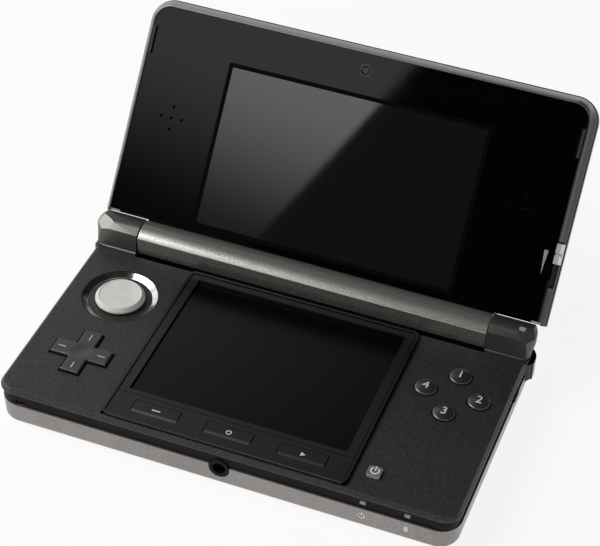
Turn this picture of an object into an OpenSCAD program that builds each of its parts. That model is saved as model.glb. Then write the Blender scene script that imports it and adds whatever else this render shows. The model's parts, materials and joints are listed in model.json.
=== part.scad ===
// Clamshell handheld game console, open on its table, in millimetres.
// The origin is the centre of the base's underside, +Z is up, the front edge faces -Y.

/* [Base] */
// Width of the base over its rim
base_w = 131; // [130:0.5:136]
// Depth of the base over its rim
base_d = 73.4; // [73.2:0.2:78]
// Height of the face plate's top above the table
base_h = 12.4; // [12.2:0.1:14]
// Plan radius of the base's corners
base_r = 5; // [4:0.5:6]
// Height of the silver bottom cover
cover_h = 7.1; // [7:0.1:7.4]
// Wall of the bottom cover and the housing
wall = 1.3; // [1:0.1:1.5]
// Floor of the bottom cover
cover_floor = 1.2; // [1:0.1:1.3]
// Radius along the bottom cover's lower edge
cover_fillet = 1.8; // [1:0.1:2]
// Draft of the bottom cover's wall, in degrees
cover_draft = 3; // [1:0.5:5]
// How far the dark middle band lies inside the rim
band_inset = 0.6; // [0.3:0.1:1]
// Thickness of the face plate
plate_t = 1.5; // [1.3:0.1:1.8]
// Width of the chamfer round the face plate
chamfer_w = 0.9; // [0.5:0.1:1.2]
// Height of the chamfer round the face plate
chamfer_h = 1.1; // [0.6:0.1:1.2]

/* [Hinge] */
// Distance of the hinge axis from the base's rear edge
hinge_inset = 3.7; // [3.5:0.1:4]
// Height of the hinge axis above the face plate
hinge_rise = 1.5; // [1.4:0.1:1.7]
// Angle between the two halves as they stand open
open_angle = 127; // [110:1:140]
// Radius of the barrel that the lid turns on
barrel_r = 6; // [5.6:0.1:6.1]
// Depth of the flat along the barrel's front
barrel_flat = 1.5; // [1:0.1:1.8]
// Width of a corner knuckle
knuckle_w = 12.5; // [12:0.1:13]
// Room between the barrel and the base, at its ends and under it
barrel_gap = 0.3; // [0.25:0.05:0.4]
// Greatest distance of the corner knuckles' section from the hinge axis
knuckle_r = 6.3; // [6:0.1:6.5]
// Distance from the hinge axis to the knuckles' foot in front
knuckle_front = 5.4; // [5.3:0.1:5.5]
// Angle of the lower edge of the knuckles' lit facet about the axis
knuckle_low = 133; // [131:1:136]
// Angle of the upper edge of the knuckles' lit facet about the axis
knuckle_high = 112; // [108:1:116]
// Chamfer down the knuckles' outer front edges
knuckle_chamfer = 0.9; // [0.4:0.1:1.2]
// Radius over the knuckles' rear edge
knuckle_round = 1.8; // [1.4:0.1:2.4]
// How far the knuckles' outer ends lean out over the base's sides
knuckle_swell = 0.8; // [0.4:0.1:0.8]
// Radius of the steel hinge pins
pin_r = 2; // [1.5:0.1:2.2]
// Running clearance of the hinge pins in the barrel
pin_fit = 0.05; // [0.02:0.01:0.08]
// How deep a hinge pin stands in the barrel
pin_reach = 6; // [4:0.5:8]
// Radius of the click hinge unit inside a knuckle
hinge_unit_r = 2.8; // [2.6:0.1:2.9]

/* [Lid] */
// How far the lid reaches past the base on each side
lid_overhang = 1.7; // [1.5:0.1:2.2]
// How far the closed lid reaches past the base's front edge
lid_lip = 0.3; // [0:0.1:0.6]
// Distance from the hinge axis to the lid's near edge
lid_start = 5.8; // [5.7:0.1:6]
// Thickness of the lid
lid_t = 7.5; // [7.2:0.1:8.5]
// How far the lid's inner face lies beyond the hinge axis
lid_face = 0.2; // [0.1:0.05:0.3]
// Plan radius of the lid's corners
lid_r = 7; // [6:0.5:8]
// Thickness of the rim layer between the panel and the outer cover
lid_rim_t = 3.4; // [3.2:0.1:3.6]
// Width of the rim round the panel
lid_rim_w = 2.45; // [2.4:0.05:2.8]
// Radius along the outer cover's edge
lid_fillet = 2.2; // [1.5:0.1:2.5]
// Thickness of the glossy inner panel
panel_t = 1.1; // [0.9:0.1:1.3]
// Gap round the glossy inner panel
panel_gap = 0.3; // [0.2:0.05:0.35]

/* [Upper screen] */
// Width of the lid beside the upper screen's picture
upper_side = 28.8; // [28.4:0.1:32]
// Distance from the hinge axis to the picture's lower edge
upper_near = 9; // [8.6:0.1:12]
// Distance from the picture's upper edge to the lid's far edge
upper_far = 15; // [14.5:0.1:18]
// Distance of the inner camera from the lid's far edge
camera_inset = 7; // [6.5:0.1:8]
// Radius of the inner camera's ring
camera_r = 2.05; // [1.5:0.05:2.4]
// Distance of the speaker holes from the lid's side
speaker_inset = 14.1; // [13.8:0.1:15]
// Distance of the speaker holes from the hinge axis
speaker_d = 36.5; // [34:0.5:40]
// Pitch of the speaker holes
speaker_pitch = 3.25; // [2.5:0.05:3.5]
// Radius of a speaker hole
speaker_hole_r = 0.45; // [0.3:0.05:0.6]
// Distance between the two outer cameras
outer_camera_pitch = 35; // [30:1:40]
// Radius of an outer camera's window
outer_camera_r = 2.6; // [2:0.1:3]

/* [Depth slider] */
// Length of the depth slider's knob
slider_len = 5.8; // [5:0.1:6.5]
// Distance of the knob's centre from the hinge axis
slider_d = 26.4; // [26:0.2:27]
// Travel of the depth slider
slider_travel = 6.4; // [5:0.2:6.6]

/* [Lower screen] */
// Width of the face plate beside the raised frame
side_w = 30.8; // [30.6:0.1:32]
// Distance of the raised frame from the base's front edge
frame_inset = 1.4; // [1.2:0.1:1.6]
// Height of the raised frame above the face plate
frame_rise = 1; // [0.8:0.05:1.05]
// Width of the frame's narrow rail
rail_w = 0.8; // [0.6:0.1:1]
// Gap between the rail and the satin inner bezel
bezel_gap = 0.25; // [0.1:0.05:0.3]
// How far the satin bezel lies below the rail
bezel_drop = 0.25; // [0.1:0.05:0.4]
// Width of the border beside the lower screen's opening
lower_side = 3.5; // [3.2:0.1:5]
// Width of the border behind the lower screen's opening
lower_rear = 3; // [2.6:0.1:5]
// Distance of the opening from the frame's front edge
lower_from_front = 11; // [10.8:0.1:11.2]
// Border outside the row of strip buttons, with half a gap
strip_side = 3.35; // [3:0.05:5]
// Gap between two strip buttons
strip_gap = 7.8; // [7:0.1:9]
// Depth of a strip button
strip_d = 4; // [3.5:0.1:4.4]
// Distance of the strip buttons from the frame's front edge
strip_from_front = 3.5; // [3:0.1:3.8]
// Travel of a strip button
strip_travel = 0.35; // [0.2:0.05:0.4]

/* [Controls] */
// Distance of the slide pad's centre from the base's left edge
pad_inset = 16.1; // [15:0.1:17]
// Distance of the slide pad's centre from the hinge axis, as a share of the base's depth
pad_place = 0.323; // [0.315:0.001:0.335]
// Outer radius of the slide pad's polished ring
pad_ring_r = 11; // [10.8:0.1:11.2]
// Inner radius of the slide pad's polished ring
pad_well_r = 9.1; // [9:0.1:9.3]
// Radius of the slide pad's cap
pad_cap_r = 7.1; // [6.5:0.1:7.2]
// Travel of the slide pad each way
pad_travel = 1.6; // [1:0.1:1.7]
// Distance of the cross pad's centre from the front edge, as a share of the base's depth
cross_place = 0.2807; // [0.27:0.001:0.29]
// Length of the cross pad over its arms
cross_len = 16.6; // [15:0.1:17]
// Width of a cross pad arm
cross_arm = 5.4; // [5:0.1:6]
// Gap round the cross pad
cross_gap = 0.5; // [0.5:0.05:0.6]
// Tilt of the cross pad each way, in degrees
cross_tilt = 2.5; // [1:0.5:2.5]
// Distance of the face buttons' centre from the base's right edge
cluster_inset = 15.4; // [15:0.1:16.5]
// Distance of the face buttons' centre from the hinge axis
cluster_from_hinge = 25.7; // [24:0.1:27]
// Distance of each face button from the centre of the four
cluster_pitch = 7.55; // [7:0.05:7.8]
// Radius of a face button
button_r = 3.15; // [2.8:0.05:3.3]
// Gap round a button
button_gap = 0.25; // [0.2:0.05:0.35]
// Travel of a face button
button_travel = 0.8; // [0.5:0.1:0.9]
// Height of the controls above the face plate
control_rise = 1.05; // [0.8:0.05:1.1]
// Distance of the power button from the base's right edge
power_inset = 25.3; // [24.6:0.1:26.5]
// Distance of the power button from the base's front edge
power_from_front = 8.5; // [8:0.1:12]
// Width of the power button
power_w = 3.85; // [3:0.05:4.5]

/* [Sockets and slots] */
// Bore radius of the headphone socket
jack_r = 1.8; // [1.75:0.05:1.9]
// Outer radius of the headphone socket
jack_body_r = 2.9; // [2.6:0.1:3]
// Length of the headphone socket's bore
jack_len = 14; // [12:0.5:15]
// Height of the headphone socket's axis above the table
jack_z = 6.1; // [5.5:0.1:6.3]
// Width of the game card slot
card_w = 34.4; // [33.6:0.1:36]
// Height of the game card slot
card_t = 4.3; // [4.25:0.05:4.4]
// Depth of the game card slot
card_d = 31; // [28:0.5:33]
// Width of the memory card slot
memory_w = 24.6; // [24.4:0.1:25]
// Height of the memory card slot
memory_t = 2.4; // [2.3:0.1:2.5]
// Length of the memory card door
door_len = 27; // [26.5:0.1:28]
// Radius of the stylus
stylus_r = 2.1; // [1.8:0.1:2.2]
// How much shorter the stylus is than the base is deep
stylus_short = 10.4; // [9.5:0.1:20]
// Distance of the stylus from the inner end of the right knuckle
stylus_inset = 7; // [6.5:0.1:7.5]

/* [Shoulder buttons and switches] */
// Height of a shoulder button
shoulder_h = 6; // [5:0.1:6.1]
// Thickness of a shoulder button's shell
shoulder_t = 2.2; // [1.8:0.1:2.4]
// How far a shoulder button stands out of the base
shoulder_proud = 1.4; // [0.5:0.1:1.5]
// Travel of a shoulder button, in degrees
shoulder_travel = 3.5; // [2:0.5:4]
// Length of the volume slider's knob
volume_len = 5; // [4:0.5:6]
// Travel of the volume slider from its middle, each way
volume_travel = 4; // [3:0.5:4]

/* [Hidden] */
$fn = 96;
eps = 0.01;
// Seating clearance between pieces of one body
seat = 0.05;
// Clearance between pieces that move past each other
free = 0.3;

half_w = base_w / 2;
half_d = base_d / 2;
plate_z = base_h - plate_t;
band_top = base_h - plate_t;
band_w = base_w - 2 * band_inset;
band_d = base_d - 2 * band_inset;
band_r = base_r - band_inset;
cover_r = base_r + 1;
hinge_y = half_d - hinge_inset;
hinge_z = base_h + hinge_rise;
lid_lean = 180 - open_angle;
knuckle_x = half_w - knuckle_w;
barrel_half = knuckle_x - barrel_gap;
knuckle_y = hinge_y - knuckle_front;
knuckle_edge = [cos(knuckle_low), sin(knuckle_low)] * knuckle_r;
knuckle_crest = [cos(knuckle_high), sin(knuckle_high)] * knuckle_r;
knuckle_back = hinge_inset - 0.4;
knuckle_cy = knuckle_back - knuckle_round;
knuckle_cz = sqrt(pow(knuckle_r - knuckle_round, 2) - pow(knuckle_cy, 2));
knuckle_top = hinge_z + knuckle_r;
skin = 0.02;
knuckle_lean = 4;
knuckle_shoulder = 0.6;
knuckle_turn = half_w - 4;
cove_r = knuckle_r + 0.4;
cove_end = half_w + barrel_gap;
trough_r = barrel_r + barrel_gap + 0.05;
trough_wall = 0.7;

frame_y0 = -half_d + frame_inset;
frame_y1 = hinge_y - trough_r - seat;
frame_w = base_w - 2 * side_w;
frame_d = frame_y1 - frame_y0;
lower_w = frame_w - 2 * lower_side;
lower_h = frame_d - lower_from_front - lower_rear;
frame_top = base_h + frame_rise;
bezel_top = frame_top - bezel_drop;
bezel_t = 0.75;
bezel_z = bezel_top - bezel_t;
bezel_w = frame_w - 2 * (rail_w + bezel_gap);
bezel_d = frame_d - 2 * (rail_w + bezel_gap);
bezel_y = (frame_y0 + frame_y1) / 2;
lower_y0 = frame_y0 + lower_from_front;
lower_y = lower_y0 + lower_h / 2;
touch_t = 0.7;
touch_z = bezel_z - touch_t;
strip_y = frame_y0 + strip_from_front + strip_d / 2;
strip_pitch = (frame_w - 2 * strip_side) / 3;
strip_w = strip_pitch - strip_gap;
strip_xs = [-strip_pitch, 0, strip_pitch];
strip_top = bezel_top + 0.15;
strip_flange_t = 0.6;
strip_z = plate_z - 0.2 - strip_flange_t;

floor_z = 5.9;
floor_t = 1.1;
board_z = floor_z + floor_t + seat;
board_t = 0.9;
board_top = board_z + board_t;
mat_t = 0.4;
mat_dome = 0.3;
control_top = base_h + control_rise;
flange_t = 0.7;
flange_z = plate_z - free - flange_t;

pad_x = -half_w + pad_inset;
pad_y = hinge_y - pad_place * base_d;
pad_floor_z = base_h - 1.15;
pad_floor_t = 0.7;
pad_cap_z = pad_floor_z + free;
pad_stem_r = 1.6;
pad_hole_r = pad_stem_r + pad_travel * sqrt(2) + 0.3;
carriage_t = 0.8;
carriage_z = pad_floor_z - pad_floor_t - free - carriage_t;
carriage_gap = 0.15;
carriage_half_w = 6.5;
pad_foot_r = 3.4;
pad_foot_t = 0.5;
pad_box_half = 10.4;
pad_rail = 1.6;

cross_x = pad_x + 0.1;
cross_y = -half_d + cross_place * base_d;
cross_ball_r = 1.3;
cross_flange_t = 0.5;
cross_flange_z = plate_z - 0.7 - cross_flange_t;
cross_flange = 1;
cross_pivot_z = cross_flange_z;
cross_post_r = 5.6;
cross_post_z = cross_flange_z - 0.55;
cross_top_z = control_top - 0.25;

cluster_x = half_w - cluster_inset;
cluster_y = hinge_y - cluster_from_hinge;
cluster_places = [[0, cluster_pitch], [-cluster_pitch, 0], [cluster_pitch, 0], [0, -cluster_pitch]];
power_x = half_w - power_inset;
power_y = -half_d + power_from_front;
power_travel = 0.5;
plate_seam_y = (pad_y - pad_ring_r + cross_y + cross_len / 2 + cross_gap) / 2;

front_y = -half_d;
jack_y = front_y + 0.1;
light_z = 8.85;
light_w = 1.6;
light_h = 1.4;
light_xs = [power_x - 0.3, power_x + 11.85];
mic_x = -half_w + 7.3;

card_z = cover_floor + 0.7;
card_wall = 0.6;
card_y1 = half_d - 0.2;
inlet_x = 28;
inlet_w = 8.8;
inlet_t = 3.4;
inlet_d = 8;
inlet_z = 3.9;
window_x = -28;
window_w = 10;
window_h = 2.6;
window_z = 3.4;
rear_wall_y = half_d - band_inset - wall;

memory_y = hinge_y - 38;
memory_z = 4.4;
memory_d = 27;
door_t = 1.1;
door_h = 4.5;
door_z = cover_h - 0.25 - door_h;
door_x = -half_w + 0.2;
door_pin_r = 0.35;

shoulder_r = 5.2;
shoulder_z = band_top - free - shoulder_h;
shoulder_x0 = knuckle_x + free;
shoulder_x1 = half_w + shoulder_proud;
shoulder_y1 = half_d + 0.2;
shoulder_y0 = shoulder_y1 - 7.4;
shoulder_pin_r = 0.6;
shoulder_boss_r = 1.25;
shoulder_pin_x = shoulder_x0 + shoulder_boss_r + 0.1;
shoulder_pin_y = shoulder_y1 - shoulder_boss_r - 0.05;
shoulder_swing = (shoulder_x1 - shoulder_pin_x) * sin(shoulder_travel);
rear_half = shoulder_x0 - free;

switch_z = (cover_h + band_top) / 2 + 0.1;
switch_h = 1.6;
switch_neck = 1;
volume_y = hinge_y - 15;
radio_y = hinge_y - 16;
radio_travel = 1.5;

stylus_x = knuckle_x - stylus_inset;
stylus_len = base_d - stylus_short;
stylus_bore = stylus_r + 0.2;
stylus_tube = 0.45;
stylus_z = cover_floor + stylus_bore + stylus_tube;
stylus_y1 = half_d - 0.3;
screw_places = [[-half_w + 9, -half_d + 8], [half_w - 9, -half_d + 8]];
screw_head_r = 2.2;

lid_w = base_w + 2 * lid_overhang;
lid_reach = hinge_y + half_d + lid_lip;
lid_back = lid_face - lid_t;
upper_w = lid_w - 2 * upper_side;
upper_h = lid_reach - upper_near - upper_far;
upper_d = upper_near + upper_h / 2;
camera_d = lid_reach - camera_inset;
speaker_x = lid_w / 2 - speaker_inset;
lid_seam = lid_face - lid_rim_t;
panel_w = lid_w - 2 * lid_rim_w;
panel_top = lid_reach - lid_rim_w;
panel_r = lid_r - lid_rim_w;
lid_wall = 1.4;
tray_w = 2.25;
slider_x = lid_w / 2 - 1.25;
arm_z = lid_face - 2;
arm_t = 0.6;
arm_w = 2;
slider_w = 2;
channel_depth = 2.1;
channel_d1 = slider_d + slider_len / 2 + 0.5;
channel_d0 = slider_d - slider_len / 2 - slider_travel - 0.5;
bumper_len = 8.4;
bumper_d0 = lid_reach - 8.4 - bumper_len;
bumper_w = 0.8;
bumper_slot_w = 1.9;
outer_camera_d = camera_d - 1;

battery_t = 4.3;
battery_x0 = jack_body_r + 4.1;
battery_x1 = stylus_x - stylus_bore - stylus_tube - 1.25;
battery_y0 = -half_d + 5;
battery_y1 = card_y1 - card_d - 5.6;
board_y0 = -half_d + 4.5;
board_y1 = knuckle_y - 1.8;
speaker_w = 15;
speaker_h = 11;
speaker_t = 3.8;
unit_len = knuckle_w - 2.7;

// Plan shapes

module rounded_rect(w, d, r) {
    square([w - 2 * r, d], center = true);
    square([w, d - 2 * r], center = true);
    for (sx = [-1, 1], sy = [-1, 1])
        translate([sx * (w / 2 - r), sy * (d / 2 - r)]) circle(r);
}

module rounded_slab(w, d, r, h) {
    linear_extrude(h) rounded_rect(w, d, r);
}

// A slab whose edge follows the profile given as a child: x runs outwards
// from the corner centre to r, y is the height, from z0 to z1.
module moulded_slab(w, d, r, z0, z1) {
    translate([-w / 2 + r, -d / 2 + r, z0]) cube([w - 2 * r, d - 2 * r, z1 - z0]);
    for (side = [0, 1]) rotate(180 * side) {
        translate([w / 2 - r, 0, 0]) edge_run(d - 2 * r) children();
        rotate(90) translate([d / 2 - r, 0, 0]) edge_run(w - 2 * r) children();
        translate([w / 2 - r, d / 2 - r, 0]) rotate_extrude(angle = 90) children();
        translate([w / 2 - r, -d / 2 + r, 0]) rotate(-90) rotate_extrude(angle = 90) children();
    }
}

// A straight length of the same profile, running along y
module edge_run(length) {
    translate([0, length / 2, 0]) rotate([90, 0, 0]) linear_extrude(length) children();
}

// Edge profile of the bottom cover: a drafted wall over a rounded lower edge
module cover_profile(r, h, fillet, draft) {
    reach = fillet * cos(draft) + (h - fillet + fillet * sin(draft)) * tan(draft);
    x0 = r - reach;
    translate([x0, fillet]) intersection() {
        circle(fillet);
        translate([0, -fillet]) square([fillet, fillet]);
    }
    polygon([
        [0, 0], [x0, 0], [x0, fillet],
        [x0 + fillet * cos(draft), fillet - fillet * sin(draft)],
        [r, h], [0, h]
    ]);
}

// Edge profile of the face plate: a short lip under a chamfer
module plate_profile(r, t, cw, ch) {
    polygon([[0, 0], [r, 0], [r, t - ch], [r - cw, t], [0, t]]);
}

// Edge profile of the lid's rim layer, widest at the seam with the cover
module rim_profile(r, t) {
    polygon([
        [0, 0], [r - 0.25, 0], [r - 0.3, 0.6], [r - 1.05, t - 1.1],
        [r - 1.8, t], [0, t]
    ]);
}

// Edge profile of the lid's outer cover, rounded towards the back
module back_profile(r, t, fillet) {
    translate([r - fillet, fillet]) intersection() {
        circle(fillet);
        translate([0, -fillet]) square([fillet, fillet]);
    }
    polygon([[0, 0], [r - fillet, 0], [r - fillet, fillet], [r, fillet], [r, t], [0, t]]);
}

module cross_shape(length, arm) {
    square([length, arm], center = true);
    square([arm, length], center = true);
}

// Places its children in the lid's own frame: x across, y along the lid
// from the hinge axis, z out of the inner face.
module in_lid() {
    translate([0, hinge_y, hinge_z]) rotate([lid_lean, 0, 0]) children();
}

module along_x(x0, x1) {
    translate([x0, 0, 0]) rotate([90, 0, 90]) linear_extrude(x1 - x0) children();
}

module on_hinge() {
    translate([0, hinge_y, hinge_z]) children();
}

// Plan shape that a shoulder button fills, grown outwards at its front end
// and inwards by the clearances given
module shoulder_plan(end_grow, inner_grow) {
    cx = shoulder_x1 - shoulder_r;
    cy = shoulder_y1 - shoulder_r;
    r0 = shoulder_r - shoulder_t - inner_grow;
    side = end_grow > 0 ? free : 0;
    difference() {
        union() {
            translate([shoulder_x0 - side, cy]) square([cx - shoulder_x0 + side, shoulder_r + side]);
            translate([cx, shoulder_y0 - end_grow])
                square([shoulder_r + side, cy - shoulder_y0 + end_grow]);
            translate([cx, cy]) circle(shoulder_r + side);
        }
        translate([shoulder_x0 - side - 1, shoulder_y0 - end_grow - 10])
            square([cx - shoulder_x0 + side + 1, cy - shoulder_y0 + end_grow + 10 + r0]);
        translate([cx - eps, shoulder_y0 - end_grow - 10])
            square([r0 + eps, cy - shoulder_y0 + end_grow + 10]);
        translate([cx, cy]) circle(r0);
    }
}

// Room in the shell for both shoulder buttons and their travel
module shoulder_rooms() {
    room = band_top - shoulder_z + free + eps;
    for (side = [0, 1]) mirror([side, 0, 0]) {
        translate([0, 0, shoulder_z - free])
            linear_extrude(room) shoulder_plan(shoulder_swing + free, shoulder_swing + free);
        translate([shoulder_pin_x, shoulder_pin_y, shoulder_z - free])
            cylinder(r = shoulder_boss_r + free, h = room);
    }
}

// Base shells

module bottom_cover() color("#8e8b8a") {
    w = base_w - 0.2;
    d = base_d - 0.2;
    inner_w = w - 2 * wall - 1;
    inner_d = d - 2 * wall - 1;
    difference() {
        union() {
            difference() {
                moulded_slab(w, d, cover_r, 0, cover_h)
                    cover_profile(cover_r, cover_h, cover_fillet, cover_draft);
                translate([0, 0, cover_floor]) rounded_slab(inner_w, inner_d, cover_r - wall, cover_h);
            }
            for (p = screw_places) translate([p[0], p[1], cover_floor - eps])
                cylinder(r = 3, h = floor_z - seat - cover_floor);
            for (side = [-1, 1]) translate([side * shoulder_pin_x, shoulder_pin_y - 0.3, cover_floor - eps])
                cylinder(r = shoulder_boss_r, h = shoulder_z - free - cover_floor);
        }
        translate([-rear_half, half_d - 4, cover_floor]) cube([2 * rear_half, 5, cover_h]);
        translate([0, jack_y - 1, jack_z]) rotate([-90, 0, 0])
            cylinder(r = jack_body_r + seat, h = 8);
        translate([-jack_body_r - seat, jack_y - 1, jack_z])
            cube([2 * (jack_body_r + seat), 8, cover_h]);
        // memory card door and its hinge pins
        translate([-half_w - 1, memory_y - door_len / 2 - 0.25, door_z - 0.25])
            cube([5, door_len + 0.5, cover_h]);
        translate([door_x + door_t / 2, memory_y, door_z + door_t / 2]) rotate([90, 0, 0])
            cylinder(r = door_pin_r + pin_fit, h = door_len + 2, center = true);
        shoulder_rooms();
        for (side = [-1, 1]) translate([side * shoulder_pin_x, shoulder_pin_y, shoulder_z - free - 1.5])
            cylinder(r = shoulder_pin_r, h = 5);
        for (p = screw_places) translate([p[0], p[1], -eps]) {
            cylinder(r = screw_head_r + seat, h = 0.9);
            cylinder(r = 1.1, h = floor_z);
        }
    }
}

module housing_band() {
    h = band_top - cover_h;
    translate([0, 0, cover_h]) difference() {
        rounded_slab(band_w, band_d, band_r, h);
        translate([0, 0, -1]) rounded_slab(band_w - 2 * wall, band_d - 2 * wall, band_r - wall, h + 2);
    }
}

// Inner deck with its rim, cut out for the sockets that stand in the base
module housing_floor() {
    inset = wall + 0.7;
    deck = floor_t + 2 * eps;
    difference() {
        union() {
            translate([0, 0, floor_z])
                rounded_slab(base_w - 2 * inset, base_d - 2 * inset, base_r, floor_t);
            translate([0, 0, floor_z]) difference() {
                rounded_slab(base_w - 2 * inset, base_d - 2 * inset, base_r, cover_h - floor_z + 0.6);
                translate([0, 0, -1])
                    rounded_slab(base_w - 2 * inset - 2.4, base_d - 2 * inset - 2.4, base_r - 2, cover_h);
            }
        }
        translate([-card_w / 2 - card_wall - seat, card_y1 - card_d - 2, floor_z - eps])
            cube([card_w + 2 * (card_wall + seat), card_d + 5, deck + 2]);
        translate([inlet_x - inlet_w / 2 - 1, rear_wall_y - inlet_d - 0.5, floor_z - eps])
            cube([inlet_w + 2, inlet_d + 4, deck]);
        translate([stylus_x - stylus_bore - stylus_tube - seat, stylus_y1 - stylus_len - 1.6, floor_z - eps])
            cube([2 * (stylus_bore + stylus_tube + seat), stylus_len + 4, deck]);
        translate([-half_w - 1, memory_y - memory_w / 2 - 0.65, floor_z - eps])
            cube([memory_d + 4.5, memory_w + 1.3, memory_z + memory_t / 2 + 0.6 + seat - floor_z]);
        translate([-jack_body_r - seat, jack_y, floor_z - eps])
            cube([2 * (jack_body_r + seat), jack_len + 1, deck + 2]);
        for (p = screw_places) translate([p[0], p[1], floor_z - 1]) cylinder(r = 1, h = 5);
    }
}

module lower_housing() color("#1b1a1a") {
    difference() {
        union() {
            housing_band();
            housing_floor();
            // rear wall between the shoulder buttons
            translate([-rear_half, rear_wall_y, cover_floor + seat])
                cube([2 * rear_half, wall, band_top - cover_floor - seat]);
            // cradle under the barrel
            intersection() {
                translate([-rear_half, hinge_y, hinge_z]) rotate([0, 90, 0])
                    cylinder(r = trough_r + trough_wall, h = 2 * rear_half);
                translate([-half_w, 0, floor_z + 0.9])
                    cube([base_w, half_d - band_inset, band_top - floor_z - 0.9]);
            }
            // walls that carry the knuckles, in front of the shoulder buttons
            for (side = [-1, 1])
                translate([side * (half_w - 7) - 5.4, knuckle_y, floor_z])
                    cube([10.8, 1.2, band_top - floor_z]);
            // boss round the headphone socket
            translate([0, jack_y, jack_z]) rotate([-90, 0, 0]) cylinder(r = jack_body_r, h = 2.2);
            // standard that the cross pad rocks on
            translate([cross_x, cross_y, floor_z + floor_t - eps])
                cylinder(r = 1.6, h = cross_pivot_z - cross_ball_r - 0.1 - floor_z - floor_t);
        }
        translate([-knuckle_x, hinge_y, hinge_z]) rotate([0, 90, 0])
            cylinder(r = trough_r, h = 2 * knuckle_x);
        shoulder_rooms();
        // headphone socket
        translate([0, jack_y - 1, jack_z]) rotate([-90, 0, 0])
            cylinder(r = jack_body_r - 0.7, h = 4);
        // game card slot, power inlet, infrared window and stylus hole in the rear wall
        translate([-card_w / 2, half_d - 4, card_z]) cube([card_w, 6, card_t]);
        translate([inlet_x - inlet_w / 2, half_d - 4, inlet_z - inlet_t / 2])
            cube([inlet_w, 6, inlet_t]);
        translate([window_x - window_w / 2 - seat, half_d - 4, window_z - seat])
            cube([window_w + 2 * seat, 6, window_h + 2 * seat]);
        translate([stylus_x, half_d - 4, stylus_z]) rotate([-90, 0, 0])
            cylinder(r = stylus_bore, h = 8);
        // front lights, microphone, side switches
        for (x = light_xs) translate([x - light_w / 2 - seat, front_y - 1, light_z - light_h / 2 - seat])
            cube([light_w + 2 * seat, 4, light_h + 2 * seat]);
        translate([mic_x - 1.4, front_y - 1, cover_h - eps]) cube([2.8, 4, 1.4]);
        translate([-half_w - 1, volume_y - volume_len / 2 - volume_travel - free, switch_z - switch_h / 2 - 0.2])
            cube([4.5, volume_len + 2 * (volume_travel + free), switch_h + 0.4]);
        translate([half_w - 3.5, radio_y - 2 - free, switch_z - switch_h / 2 - 0.2])
            cube([4.5, 4 + radio_travel + 2 * free, switch_h + 0.4]);
    }
}

// The face plate comes in three pieces, each round its own controls. They meet in
// the middle of the front edge, and between the slide pad and the cross pad.
module left_front_plate() color("#333331") intersection() {
    face_plate();
    translate([-base_w, -base_d, 0]) cube([base_w, base_d + plate_seam_y, 2 * base_h]);
}

module left_rear_plate() color("#333331") intersection() {
    face_plate();
    translate([-base_w, plate_seam_y, 0]) cube([base_w, base_d, 2 * base_h]);
}

module right_plate() color("#333331") intersection() {
    face_plate();
    translate([0, -base_d, 0]) cube([base_w, 2 * base_d, 2 * base_h]);
}

module face_plate() {
    difference() {
        translate([0, 0, plate_z]) moulded_slab(base_w, base_d, base_r, 0, plate_t)
            plate_profile(base_r, plate_t, chamfer_w, chamfer_h);
        // everything behind the knuckles' front
        translate([-half_w - 1, knuckle_y, plate_z - 1]) cube([base_w + 2, half_d, plate_t + 2]);
        translate([-knuckle_x, hinge_y, hinge_z]) rotate([0, 90, 0])
            cylinder(r = trough_r, h = 2 * knuckle_x);
        // raised frame
        translate([-frame_w / 2 - seat, frame_y0 - seat, plate_z - 1])
            cube([frame_w + 2 * seat, half_d - frame_y0, plate_t + 2]);
        // controls
        translate([pad_x, pad_y, plate_z - 1]) cylinder(r = pad_ring_r + seat, h = plate_t + 2);
        translate([cross_x, cross_y, plate_z - 1]) linear_extrude(plate_t + 2)
            cross_shape(cross_len + 2 * cross_gap, cross_arm + 2 * cross_gap);
        for (p = cluster_places) translate([cluster_x + p[0], cluster_y + p[1], plate_z - 1])
            cylinder(r = button_r + button_gap, h = plate_t + 2);
        translate([power_x, power_y, plate_z - 1])
            rounded_slab(power_w + 2 * button_gap, power_w + 2 * button_gap, 1, plate_t + 2);
    }
}

// Hinge

// Section of a knuckle, drawn from the hinge axis: y to the rear, z up
module knuckle_profile() {
    foot = base_h - hinge_z;
    low = band_top - hinge_z;
    // crown about the hinge axis, rounded over the rear edge
    intersection() {
        circle(knuckle_r);
        polygon([[0, 0], 2 * knuckle_crest, 2 * [knuckle_cy, knuckle_cz]]);
    }
    translate([knuckle_cy, knuckle_cz]) circle(knuckle_round - skin);
    polygon([
        [-knuckle_front, low], [knuckle_back, low], [knuckle_back, knuckle_cz],
        [knuckle_cy, knuckle_cz], knuckle_crest, knuckle_edge,
        [knuckle_edge[0], foot + 1.1], [-knuckle_front, foot + 0.2]
    ]);
}

// Direction of the knuckles' lit facet
facet_run = knuckle_crest - knuckle_edge;
facet_slope = atan2(facet_run[1], facet_run[0]);

// Plan of a knuckle: a rounded rear corner over the base's own, which leans out
// with the outer end from the face plate up
module knuckle_plan() {
    corner = [half_w - base_r, half_d - base_r];
    low = band_top - 1;
    lean_z = base_h + knuckle_lean;
    reach = half_w + knuckle_swell;
    translate([knuckle_x - 1, knuckle_y - 1, low]) cube([corner[0] - knuckle_x + 1, 12, 14]);
    translate([0, corner[1] + eps, 0]) rotate([90, 0, 0]) linear_extrude(corner[1] - knuckle_y + 1)
        polygon([
            [corner[0] - eps, low], [half_w, low], [half_w, base_h], [reach, lean_z],
            [reach, low + 14], [corner[0] - eps, low + 14]
        ]);
    translate([corner[0], corner[1], 0]) {
        translate([0, 0, low]) cylinder(r = base_r, h = base_h - low);
        translate([0, 0, base_h - eps]) cylinder(r1 = base_r, r2 = base_r + knuckle_swell, h = knuckle_lean + eps);
        translate([0, 0, lean_z - eps]) cylinder(r = base_r + knuckle_swell, h = 10);
    }
}

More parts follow.
